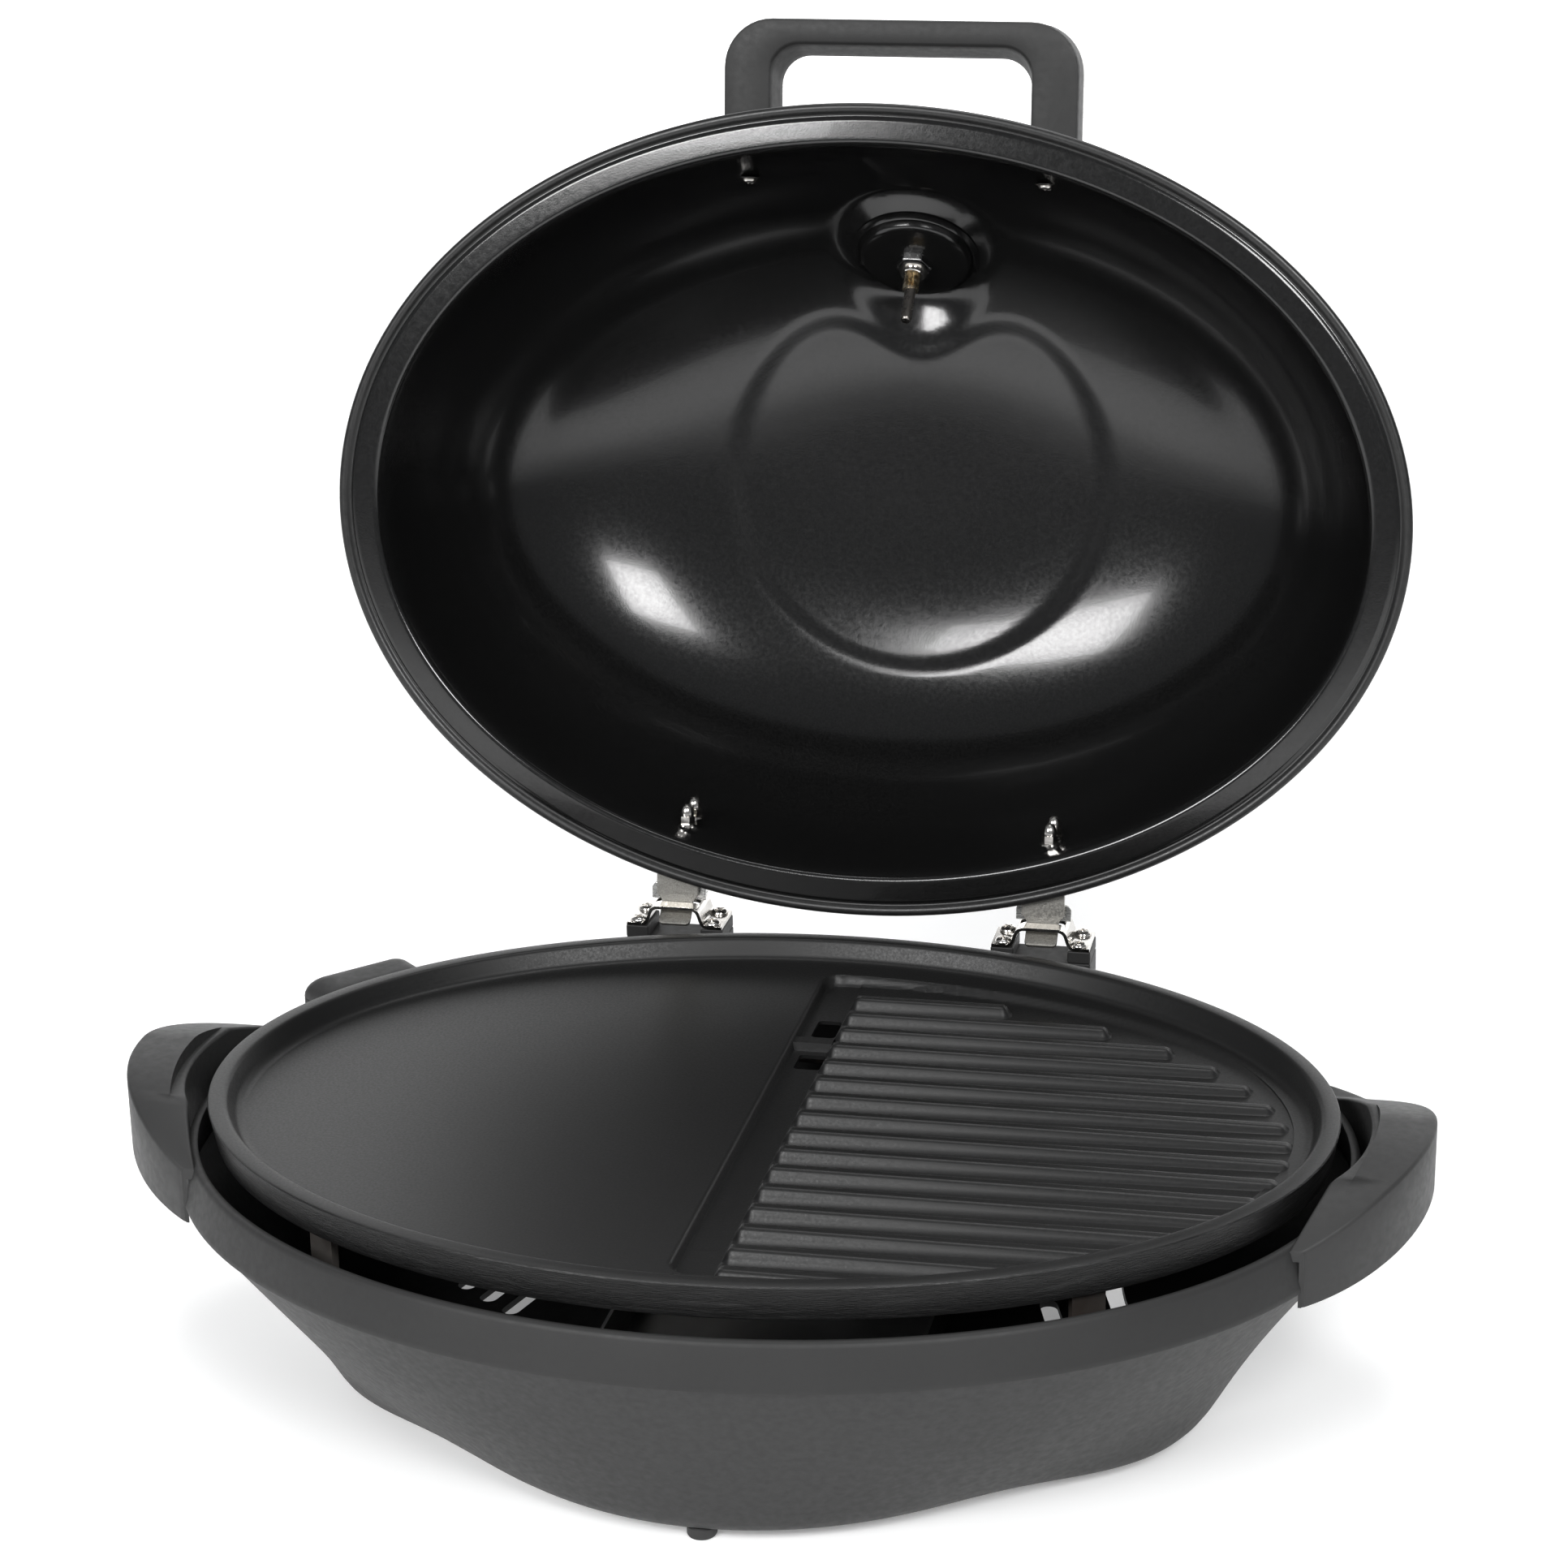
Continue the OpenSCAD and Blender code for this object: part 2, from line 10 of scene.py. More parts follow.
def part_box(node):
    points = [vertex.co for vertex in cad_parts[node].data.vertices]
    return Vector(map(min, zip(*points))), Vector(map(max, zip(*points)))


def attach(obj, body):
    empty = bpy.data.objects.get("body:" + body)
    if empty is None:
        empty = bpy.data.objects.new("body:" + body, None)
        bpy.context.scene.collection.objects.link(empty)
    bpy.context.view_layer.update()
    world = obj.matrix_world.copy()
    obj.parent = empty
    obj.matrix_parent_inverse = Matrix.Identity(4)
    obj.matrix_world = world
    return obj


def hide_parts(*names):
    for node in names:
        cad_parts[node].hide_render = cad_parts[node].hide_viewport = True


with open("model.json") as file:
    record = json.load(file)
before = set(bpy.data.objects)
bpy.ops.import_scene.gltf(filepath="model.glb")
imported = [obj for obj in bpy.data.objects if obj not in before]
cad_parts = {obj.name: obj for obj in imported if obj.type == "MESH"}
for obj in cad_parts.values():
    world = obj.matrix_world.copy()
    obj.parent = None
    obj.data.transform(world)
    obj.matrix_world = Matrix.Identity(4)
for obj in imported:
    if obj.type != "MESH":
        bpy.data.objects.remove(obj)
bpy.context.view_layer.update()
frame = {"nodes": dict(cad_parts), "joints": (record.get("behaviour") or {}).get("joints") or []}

# ---- places, in millimetres with the plate's centre at x = y = 0 and the table at z = 0 ----

MM = 0.001
plate_low, plate_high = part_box("griddle_plate")
CENTRE_Y = (plate_low.y + plate_high.y) / 2 / MM
RIM_Z = plate_high.z / MM
PLATE_A = (plate_high.x - plate_low.x) / 2 / MM
PLATE_B = (plate_high.y - plate_low.y) / 2 / MM
rim_low, rim_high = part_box("base_rim")
BAND_A = (rim_high.x - rim_low.x) / 2 / MM
BAND_B = (rim_high.y - rim_low.y) / 2 / MM
BAND_LOW = rim_low.z / MM
BAND_TOP = rim_high.z / MM
FOOT_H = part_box("rubber_feet")[1].z / MM

lid_joint = next(j for j in frame["joints"] if j["name"] == "lid_hinge")
HINGE_Y = lid_joint["pos_m"][1] / MM - CENTRE_Y
HINGE_Z = lid_joint["pos_m"][2] / MM
OPEN_ANGLE = lid_joint["range_deg"][1]
HINGE_X = 87.2  # each hinge's distance from the middle
LID_Z = RIM_Z + 0.6  # underside of the closed lid's rim
LID_A, LID_B = 249.3, 186.2  # half length and half width of the lid
DOME_A, DOME_B, DOME_H = 231.0, 168.0, 158.0  # the dome's half length, half width and height
DOME_N = 3.0  # exponent of the dome's section: 2 is an ellipse, more is boxier
SKIN = 1.5  # thickness of the dome's sheet

TO_FRAME = Matrix.Translation((0, CENTRE_Y * MM, 0)) @ Matrix.Scale(MM, 4)
OPENED = (
    TO_FRAME
    @ Matrix.Translation((0, HINGE_Y, HINGE_Z))
    @ Matrix.Rotation(math.radians(-OPEN_ANGLE), 4, "X")
    @ Matrix.Translation((0, -HINGE_Y, -HINGE_Z))
)
DIAL_Y, DIAL_H, DIAL_LEAN = -119, 135, 50  # the thermometer's place and lean in the closed lid
DIAL = (
    Matrix.Translation((0, DIAL_Y, LID_Z + DIAL_H))
    @ Matrix.Rotation(math.radians(DIAL_LEAN), 4, "X")
)
SOCKET_AT = math.radians(145)  # where the controller plugs in, round the band's oval
SOCKET_TURN = math.atan2(math.sin(SOCKET_AT) * BAND_A, math.cos(SOCKET_AT) * BAND_B)
SOCKET_Z = 100
CONTROLLER = (
    Matrix.Translation((BAND_A * math.cos(SOCKET_AT), BAND_B * math.sin(SOCKET_AT), SOCKET_Z))
    @ Matrix.Rotation(SOCKET_TURN, 4, "Z")
)


# ---- materials ----

class Shade:
    """Builds one procedural material, step by step."""

    def __init__(self, name, color, rough, metallic=0.0, coat=0.0, specular=0.5):
        self.mat = bpy.data.materials.new(name)
        self.mat.use_nodes = True
        self.nodes = self.mat.node_tree.nodes
        self.links = self.mat.node_tree.links
        self.bsdf = self.nodes["Principled BSDF"]
        self.set("Base Color", (*color, 1))
        self.set("Roughness", rough)
        self.set("Metallic", metallic)
        self.set("Coat Weight", coat)
        self.set("Specular IOR Level", specular)
        self.color, self.rough = color, rough
        self.height = None

    def set(self, socket, value):
        self.bsdf.inputs[socket].default_value = value

    def noise(self, scale, detail=3.0, stretch=(1, 1, 1)):
        coord = self.nodes.new("ShaderNodeTexCoord")
        mapping = self.nodes.new("ShaderNodeMapping")
        mapping.inputs["Scale"].default_value = stretch
        tex = self.nodes.new("ShaderNodeTexNoise")
        tex.inputs["Scale"].default_value = scale
        tex.inputs["Detail"].default_value = detail
        self.links.new(coord.outputs["Object"], mapping.inputs["Vector"])
        self.links.new(mapping.outputs["Vector"], tex.inputs["Vector"])
        return tex.outputs["Fac"]

    def ramp(self, source, low, high, a, b):
        node = self.nodes.new("ShaderNodeMapRange")
        node.inputs["From Min"].default_value = low
        node.inputs["From Max"].default_value = high
        node.inputs["To Min"].default_value = a
        node.inputs["To Max"].default_value = b
        self.links.new(source, node.inputs["Value"])
        return node.outputs["Result"]

    def tint(self, scale, other, detail=3.0, stretch=(1, 1, 1), low=0.35, high=0.65):
        mix = self.nodes.new("ShaderNodeMix")
        mix.data_type = "RGBA"
        mix.inputs["A"].default_value = (*self.color, 1)
        mix.inputs["B"].default_value = (*other, 1)
        amount = self.ramp(self.noise(scale, detail, stretch), low, high, 0, 1)
        self.links.new(amount, mix.inputs["Factor"])
        self.links.new(mix.outputs["Result"], self.bsdf.inputs["Base Color"])
        return self

    def vary_rough(self, scale, spread, stretch=(1, 1, 1), detail=3.0):
        value = self.ramp(self.noise(scale, detail, stretch), 0.3, 0.7,
                          self.rough - spread, self.rough + spread)
        self.links.new(value, self.bsdf.inputs["Roughness"])
        return self

    def bump(self, scale, distance, strength=1.0, stretch=(1, 1, 1), detail=2.0):
        node = self.nodes.new("ShaderNodeBump")
        node.inputs["Distance"].default_value = distance
        node.inputs["Strength"].default_value = strength
        self.links.new(self.noise(scale, detail, stretch), node.inputs["Height"])
        if self.height:
            self.links.new(self.height, node.inputs["Normal"])
        self.height = node.outputs["Normal"]
        self.links.new(self.height, self.bsdf.inputs["Normal"])
        return self


def make_materials():
    def gray(v):
        return (v, v, v)

    m = {}
    m["plastic"] = Shade("base_plastic", gray(0.016), 0.55, specular=0.35).tint(14, gray(0.019), 2) \
        .vary_rough(300, 0.05).bump(2600, 0.00006, 0.5).bump(700, 0.00005, 0.25).mat
    m["grip"] = Shade("grip_plastic", gray(0.021), 0.52, specular=0.35).tint(14, gray(0.025), 2) \
        .vary_rough(300, 0.05).bump(2600, 0.00006, 0.5).bump(700, 0.00005, 0.25).mat
    m["plate"] = Shade("plate_coating", gray(0.0055), 0.42, specular=0.35).tint(5, gray(0.007), 4) \
        .vary_rough(900, 0.06).bump(1500, 0.00004, 0.5).bump(3500, 0.00003, 0.5).mat
    m["wall"] = Shade("plate_wall_coating", gray(0.007), 0.38, specular=0.35) \
        .tint(9, gray(0.02), 6, (6, 6, 90), 0.5, 0.75) \
        .vary_rough(40, 0.1, (4, 4, 60)).bump(60, 0.00035, 0.8, (5, 5, 45), 5).mat
    m["lid"] = Shade("lid_enamel", gray(0.004), 0.17, coat=0.1).tint(900, gray(0.007), 2) \
        .vary_rough(500, 0.03).bump(1300, 0.00005, 0.35, detail=3).bump(60, 0.0003, 0.12).mat
    m["bead"] = Shade("lid_bead", gray(0.006), 0.36).tint(800, gray(0.009), 2) \
        .vary_rough(400, 0.05).bump(1500, 0.00004, 0.4).mat
    m["steel"] = Shade("bright_steel", (0.72, 0.7, 0.67), 0.17, metallic=1.0) \
        .tint(120, (0.6, 0.58, 0.55), 4).vary_rough(250, 0.06).bump(500, 0.00003, 0.35).mat
    m["strap"] = Shade("strap_steel", (0.42, 0.41, 0.38), 0.42, metallic=0.9) \
        .tint(1700, (0.28, 0.27, 0.25), 3).vary_rough(900, 0.1).bump(1900, 0.00006, 0.6).mat
    m["cover"] = Shade("cover_steel", (0.78, 0.78, 0.76), 0.26, metallic=1.0) \
        .tint(60, (0.68, 0.68, 0.66), 5, (1, 30, 30)).vary_rough(80, 0.08, (1, 40, 40)) \
        .bump(90, 0.00004, 0.6, (1, 40, 40), 4).mat
    m["brass"] = Shade("stem_brass", (0.66, 0.6, 0.48), 0.25, metallic=1.0) \
        .tint(300, (0.45, 0.36, 0.24), 3).vary_rough(400, 0.08).bump(900, 0.00003, 0.4).mat
    m["black_nut"] = Shade("nut_steel", gray(0.34), 0.22, metallic=1.0) \
        .tint(400, gray(0.42), 3).vary_rough(500, 0.08).bump(900, 0.00003, 0.4).mat
    m["probe"] = Shade("probe_steel", (0.3, 0.28, 0.26), 0.3, metallic=1.0) \
        .tint(150, (0.16, 0.15, 0.14), 4).vary_rough(300, 0.08).bump(700, 0.00003, 0.4).mat
    m["rubber"] = Shade("foot_rubber", gray(0.02), 0.7).tint(60, gray(0.03), 3) \
        .vary_rough(200, 0.08).bump(1200, 0.00008, 0.5).mat
    m["tray"] = Shade("tray_steel", (0.3, 0.3, 0.3), 0.38, metallic=0.9) \
        .tint(25, (0.22, 0.22, 0.22), 4).vary_rough(60, 0.1).bump(400, 0.00005, 0.4).mat
    m["element"] = Shade("element_steel", (0.16, 0.15, 0.14), 0.45, metallic=0.8) \
        .tint(30, (0.1, 0.08, 0.07), 4).vary_rough(80, 0.1).bump(600, 0.00006, 0.5).mat
    m["dial"] = Shade("dial_white", (0.75, 0.75, 0.72), 0.45).tint(20, (0.7, 0.7, 0.67), 3) \
        .vary_rough(100, 0.05).bump(900, 0.00002, 0.3).mat
    m["print"] = Shade("dial_print", gray(0.02), 0.5).tint(50, gray(0.03), 2) \
        .bump(900, 0.00002, 0.3).mat
    m["red"] = Shade("needle_red", (0.55, 0.03, 0.02), 0.35).tint(90, (0.48, 0.02, 0.02), 2) \
        .vary_rough(200, 0.05).bump(600, 0.00002, 0.3).mat
    glass = Shade("dial_glass", (0.97, 0.98, 0.98), 0.03)
    glass.set("Transmission Weight", 1.0)
    glass.set("IOR", 1.45)
    m["glass"] = glass.bump(30, 0.00003, 0.1).mat
    return m


MATS = make_materials()


# ---- mesh helpers ----

def piece(name, verts, faces, mats, body, stands_for=(), place=TO_FRAME, sharp=35, face_mats=None):
    """A mesh object riding on a body. verts are in millimetres, and place takes them to the frame."""
    mesh = bpy.data.meshes.new(name)
    mesh.from_pydata([tuple(place @ Vector(v)) for v in verts], [], faces)
    mats = mats if isinstance(mats, (list, tuple)) else [mats]
    for key in mats:
        mesh.materials.append(MATS[key])
    if face_mats:
        mesh.polygons.foreach_set("material_index", face_mats)
    mesh.validate()
    tidy = bmesh.new()
    tidy.from_mesh(mesh)
    bmesh.ops.remove_doubles(tidy, verts=tidy.verts, dist=0.000005)
    bmesh.ops.recalc_face_normals(tidy, faces=tidy.faces)
    tidy.to_mesh(mesh)
    tidy.free()
    smooth(mesh, sharp)
    obj = bpy.data.objects.new(name, mesh)
    bpy.context.scene.collection.objects.link(obj)
    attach(obj, body)
    if stands_for:
        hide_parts(*stands_for)
    return obj


def smooth(mesh, sharp=35):
    mesh.polygons.foreach_set("use_smooth", [True] * len(mesh.polygons))
    mesh.set_sharp_from_angle(angle=math.radians(sharp))


def bevel(obj, width, segments=2, angle=40):
    mod = obj.modifiers.new("Bevel", "BEVEL")
    mod.width = width * MM
    mod.segments = segments
    mod.limit_method = "ANGLE"
    mod.angle_limit = math.radians(angle)
    mod.harden_normals = True
    return obj


def cut(obj, verts, faces, place=TO_FRAME, sharp=35):
    """Takes a closed shape away from obj for good."""
    mesh = bpy.data.meshes.new("cutter")
    mesh.from_pydata([tuple(place @ Vector(v)) for v in verts], [], faces)
    tidy = bmesh.new()
    tidy.from_mesh(mesh)
    bmesh.ops.recalc_face_normals(tidy, faces=tidy.faces)
    tidy.to_mesh(mesh)
    tidy.free()
    cutter = bpy.data.objects.new("cutter", mesh)
    bpy.context.scene.collection.objects.link(cutter)
    mod = obj.modifiers.new("Cut", "BOOLEAN")
    mod.operation = "DIFFERENCE"
    mod.solver = "EXACT"
    mod.object = cutter
    bpy.context.view_layer.update()
    graph = bpy.context.evaluated_depsgraph_get()
    made = bpy.data.meshes.new_from_object(obj.evaluated_get(graph))
    obj.modifiers.clear()
    obj.data = made
    smooth(made, sharp)
    bpy.data.objects.remove(cutter)
    return obj


class Shape:
    """Collects vertices and faces."""

    def __init__(self):
        self.verts, self.faces = [], []

    def loft(self, rings, closed=True, caps=(False, False), loop=False):
        """Joins rings of equal length; closed rings wrap round, loop joins last to first."""
        start, n = len(self.verts), len(rings[0])
        for ring in rings:
            self.verts += [tuple(p) for p in ring]
        m = len(rings)
        for j in range(m if loop else m - 1):
            k = (j + 1) % m
            for i in range(n if closed else n - 1):
                h = (i + 1) % n
                self.faces.append((start + j * n + i, start + j * n + h,
                                   start + k * n + h, start + k * n + i))
        if caps[0]:
            self.faces.append(tuple(start + i for i in range(n)))
        if caps[1]:
            self.faces.append(tuple(start + (m - 1) * n + i for i in reversed(range(n))))
        return self

    def lathe(self, profile, place=Matrix(), n=48):
        """Turns (radius, height) points about the local z axis."""
        rings = [[place @ Vector((r * math.cos(a), r * math.sin(a), z))
                  for a in (math.tau * i / n for i in range(n))] for r, z in profile]
        return self.loft(rings, caps=(profile[0][0] > 0, profile[-1][0] > 0))

    def prism(self, outline, low, high, place=Matrix()):
        """Extrudes a plan outline from low to high along the local z axis."""
        rings = [[place @ Vector((x, y, z)) for x, y in outline] for z in (low, high)]
        return self.loft(rings, caps=(True, True))

    def block(self, low, high, place=Matrix()):
        (x0, y0, z0), (x1, y1, z1) = low, high
        return self.prism([(x0, y0), (x1, y0), (x1, y1), (x0, y1)], z0, z1, place)


def oval(a, b, z, n):
    return [(a * math.cos(math.tau * i / n), b * math.sin(math.tau * i / n), z) for i in range(n)]


def oval_rings(profile, n):
    """Rings from (a, b, z) rows."""
    return [oval(a, b, z, n) for a, b, z in profile]


def smoothstep(low, high, v):
    t = min(max((v - low) / (high - low), 0.0), 1.0)
    return t * t * (3 - 2 * t)


def mix(a, b, t):
    return a + (b - a) * t


def rounded(cx, cy, hx, hy, r, n=6):
    """Outline of a rounded rectangle."""
    pts = []
    for k, (sx, sy) in enumerate([(1, 1), (-1, 1), (-1, -1), (1, -1)]):
        for i in range(n + 1):
            a = math.pi / 2 * (k + i / n)
            pts.append((cx + sx * (hx - r) + r * math.cos(a), cy + sy * (hy - r) + r * math.sin(a)))
    return pts


def mirrored(shape):
    """The same shape on the other side of the YZ plane."""
    other = Shape()
    other.verts = [(-x, y, z) for x, y, z in shape.verts]
    other.faces = [tuple(reversed(f)) for f in shape.faces]
    return other


# ---- camera ----

CAMERA_PLACE = (273.14, -1170.57, 668.08)
CAMERA_TILT, CAMERA_TURN = 72.22, 9.29
SENSOR, LENS = 36, 72.55
SHIFT_X, SHIFT_Y = -0.1156, -0.0322


def make_camera():
    data = bpy.data.cameras.new("camera")
    data.sensor_width = SENSOR
    data.lens = LENS
    data.shift_x = SHIFT_X
    data.shift_y = SHIFT_Y
    cam = bpy.data.objects.new("camera", data)
    cam.location = TO_FRAME @ Vector(CAMERA_PLACE)
    cam.rotation_euler = (math.radians(CAMERA_TILT), 0, math.radians(CAMERA_TURN))
    bpy.context.scene.collection.objects.link(cam)
    bpy.context.scene.camera = cam


# ---- base ----

NOSE_R, SHOULDER_R = 139, 188  # the tub's reach at its front and back, and at its sides
SHOULDER_AT = 27  # degrees from the side at which the shoulder falls in to the nose
TUB_INSET = 1.6  # the top of the tub's wall lies this far inside the band
TUB_WALL = 3


def tub_radius(angle, t):
    """Plan of the tub: round nose front and back, wide shoulders that soften towards the band."""
    fold = abs((math.degrees(angle) + 90) % 180 - 90)
    softness = 6.5 + 12 * t
    return NOSE_R + (SHOULDER_R - NOSE_R) / (1 + math.exp((fold - SHOULDER_AT) / softness))


def tub_ring(t, inset, n, lift=0.0):
    """Ring of the tub's wall, from the floor (t = 0) to the band (t = 1)."""
    ring = []
    for i in range(n):
        x = (BAND_A - TUB_INSET) * math.cos(math.tau * i / n)
        y = (BAND_B - TUB_INSET) * math.sin(math.tau * i / n)
        angle = math.atan2(y, x)
        low, high = tub_radius(angle, t), math.hypot(x, y)
        r = mix(low, high, t) - inset
        z = FOOT_H + (BAND_LOW - FOOT_H) * t + lift
        ring.append((r * math.cos(angle), r * math.sin(angle), z))
    return ring


VENTS_A_SIDE = 3
VENT_LEAN = 16.7


def vent_cutter():
    """The slots in the tub's floor, three on each side."""
    shape = Shape()
    for side in (-1, 1):
        for i in range(VENTS_A_SIDE):
            place = (
                Matrix.Translation((side * (109 + 13 * i), 59 + 9.5 * i, 0))
                @ Matrix.Rotation(math.radians(side * VENT_LEAN), 4, "Z")
            )
            shape.prism(rounded(0, -22, 4, 26, 3.9), FOOT_H - 4, FOOT_H + 20, place)
    return shape


def make_tub():
    n = 240
    outer = [(0.0, 9), (0.0, 5.5), (0.006, 3.2), (0.018, 1.7), (0.04, 0.7), (0.075, 0.15), (0.12, 0)]
    outer += [(0.12 + 0.88 * k / 14, 0) for k in range(1, 15)]
    rings = [tub_ring(t, inset, n) for t, inset in outer]
    inner = [(t, inset + TUB_WALL) for t, inset in reversed(outer)]
    rings += [tub_ring(t, inset, n, lift=TUB_WALL * (1 - t) ** 3) for t, inset in inner]
    shape = Shape().loft(rings, caps=(True, True))
    tub = piece("tub", shape.verts, shape.faces, "plastic", "base", ["base_tub"])
    vents = vent_cutter()
    cut(tub, vents.verts, vents.faces)


def make_band():
    low, top = BAND_LOW, BAND_TOP
    rows = [(4.6, low + 0.2), (1.0, low), (0.25, low + 0.25), (0, low + 0.9), (0.35, low + 2.6),
            (2.1, low + 9), (3.9, top - 2.2), (4.4, top - 1.0), (5.1, top - 0.3), (6.0, top),
            (7.2, top), (7.9, top - 0.4), (8.1, top - 1.2), (6.0, low + 4), (5.2, low + 1)]
    rings = [oval(BAND_A - i, BAND_B - i, z, 240) for i, z in rows]
    shape = Shape().loft(rings, loop=True)
    band = piece("band", shape.verts, shape.faces, "plastic", "base", ["base_rim"])
    notch = Shape().block((-20, -20, 3), (20, 20, 23), CONTROLLER)
    cut(band, notch.verts, notch.faces)


GRIP_X, GRIP_R = 273.0, 89.5  # how far out the grip reaches, and the radius of its plan
GRIP_END = 79.0  # half the grip's length along the band
GRIP_REAR = 66.0  # where its crest meets the band at the rear
GRIP_TOP, GRIP_FALL = RIM_Z + 5, 22.2  # the crest and its drop to the ends
POCKET_X, POCKET_R = 247.0, 97.0  # the open side towards the lid
LID_GAP = 0.8  # air between the closed lid and the grip


def grip_section(y):
    """Loop round the hollow wing at one place along the grip."""
    k = abs(y) / GRIP_END
    xo = GRIP_X - GRIP_R + math.sqrt(GRIP_R ** 2 - y * y)
    band = BAND_A * math.sqrt(1 - (y / BAND_B) ** 2)
    xo = max(xo, band + 0.2) if k < 0.995 else band + 0.6
    xi = max(POCKET_X - POCKET_R + math.sqrt(POCKET_R ** 2 - y * y), band - 5.6)
    xi = min(xi, xo - 3)
    top = GRIP_TOP - GRIP_FALL * (k ** 3 if y < 0 else min(y / GRIP_REAR, 1) ** 1.4)
    low = mix(RIM_Z - 24, BAND_LOW - 6, k ** 1.6)
    low_in = max(low, BAND_LOW + 1)
    width = xo - xi
    r = min(1.6, width * 0.3)
    wall = min(3.2, width * 0.3)
    seat = min(top, RIM_Z - 0.3)
    roof = min(top - 4.5, seat - 3.5)
    pts = [(xo, low + 0.6), (xo, top - r)]
    pts += [(xo - r + r * math.cos(a), top - r + r * math.sin(a)) for a in (0.4, 0.8, 1.2)]
    lid_edge = (LID_A + LID_GAP) * math.sqrt(1 - (y / (LID_B + LID_GAP)) ** 2)
    step = min(max(lid_edge, xi + r + 0.3), xo - r - 0.3)
    pts += [(xo - r, top), (step, top), (step - 0.15, seat), (xi + r, seat)]
    pts += [(xi + r - r * math.sin(a), seat - r + r * math.cos(a)) for a in (0.4, 0.8, 1.2)]
    pts += [(xi, seat - r), (xi, low_in), (xi + wall, low_in), (xi + wall, max(roof, low_in)),
            (xo - wall, max(roof, low)), (xo - wall, low), (xo - 0.6, low)]
    return [(x, y, z) for x, z in pts]


def make_grips():
    steps = 72
    ys = [GRIP_END * math.sin(math.pi / 2 * (2 * k / steps - 1)) for k in range(steps + 1)]
    shape = Shape().loft([grip_section(y) for y in ys], caps=(True, True))
    for side, s in (("right", shape), ("left", mirrored(shape))):
        piece(f"grip_{side}", s.verts, s.faces, "grip", "base",
              [f"side_handle_{side}"], sharp=50)


def make_feet():
    shape = Shape()
    for x, y in ((0, -131), (0, 131), (160, 0), (-160, 0)):
        shape.lathe([(4.8, 0), (5.6, 0.25), (5.95, 0.9), (6, FOOT_H - 0.6), (5.4, FOOT_H)],
                    Matrix.Translation((x, y, 0)), 40)
    piece("feet", shape.verts, shape.faces, "rubber", "base", ["rubber_feet"])


# ---- plate ----

FLOOR_Z = RIM_Z - 9  # the flat half
EDGE_X = -6.4  # where the flat half steps down to the gutter
RIB_X = 12.2  # where the ribs start
RIB_COUNT = 16
RIB_PITCH = 17.6
RIB_BACK = 119.0  # the rearmost rib
RIB_TOP = FLOOR_Z + 1.4
CHANNEL_A, CHANNEL_B, CHANNEL_Y = 219, 147.5, -1  # oval in which the ribbed half is sunk
GUTTER_DEPTH = 4.6
CHANNEL_DEEP, CHANNEL_SHALLOW, CHANNEL_RUN = 4.2, 0.7, 208  # the ribbed half rises to the right
FLOOR_INSET = 14.6  # the floor meets the rim this far in


def channel_depth(x):
    """How far the ribbed half lies under the flat half: deepest at the gutter, nothing at the end."""
    if x < RIB_X - 2:
        return GUTTER_DEPTH
    return mix(CHANNEL_DEEP, CHANNEL_SHALLOW, min((x - RIB_X + 2) / CHANNEL_RUN, 1))


def plate_height(x, y):
    """Height of the cooking floor: the flat half, the step down and the rounded gutter ends."""
    inside = smoothstep(EDGE_X - 1.2, EDGE_X + 1.6, x)
    rho = math.hypot(x / CHANNEL_A, (y - CHANNEL_Y) / CHANNEL_B)
    corner = 1.0
    if x < 9:
        reach = math.hypot(min(x - 3, 0) / 9.5, max(abs(y - CHANNEL_Y) - 138, 0) / 9.5)
        corner = 1 - smoothstep(0.82, 1.1, reach)
    ring = 1 - smoothstep(0.982, 1.006, rho)
    return FLOOR_Z - channel_depth(x) * min(inside, ring, corner)


def spaced(low, high, coarse, fine, spots, reach):
    """Places from low to high, closer together near the spots."""
    out, v = [], low
    while v < high:
        out.append(v)
        v += fine if any(abs(v - s) < reach for s in spots) else coarse
    return out + [high]


def make_plate_rim():
    n = 288
    rows = [(9, -15), (3.7, -15), (3.0, -14.6), (2.7, -13.6), (1.5, -7), (0.5, -1.6), (0.35, -0.8),
            (0.75, -0.25), (1.5, 0), (6.3, 0), (7.3, -0.2), (8.0, -0.7), (8.5, -1.5), (10.7, -6.2),
            (11.3, -7.4), (12.2, -8.3), (13.4, -8.8), (15, -9), (19, -9.06)]
    rings = [oval(PLATE_A - i, PLATE_B - i, RIM_Z + z, n) for i, z in rows]
    shape = Shape().loft(rings)
    wall_rows = range(1, 7)
    face_mats = [1 if j in wall_rows else 0 for j in range(len(rows) - 1) for _ in range(n)]
    piece("plate_rim", shape.verts, shape.faces, ["plate", "wall"], "base",
          ["griddle_plate"], face_mats=face_mats)


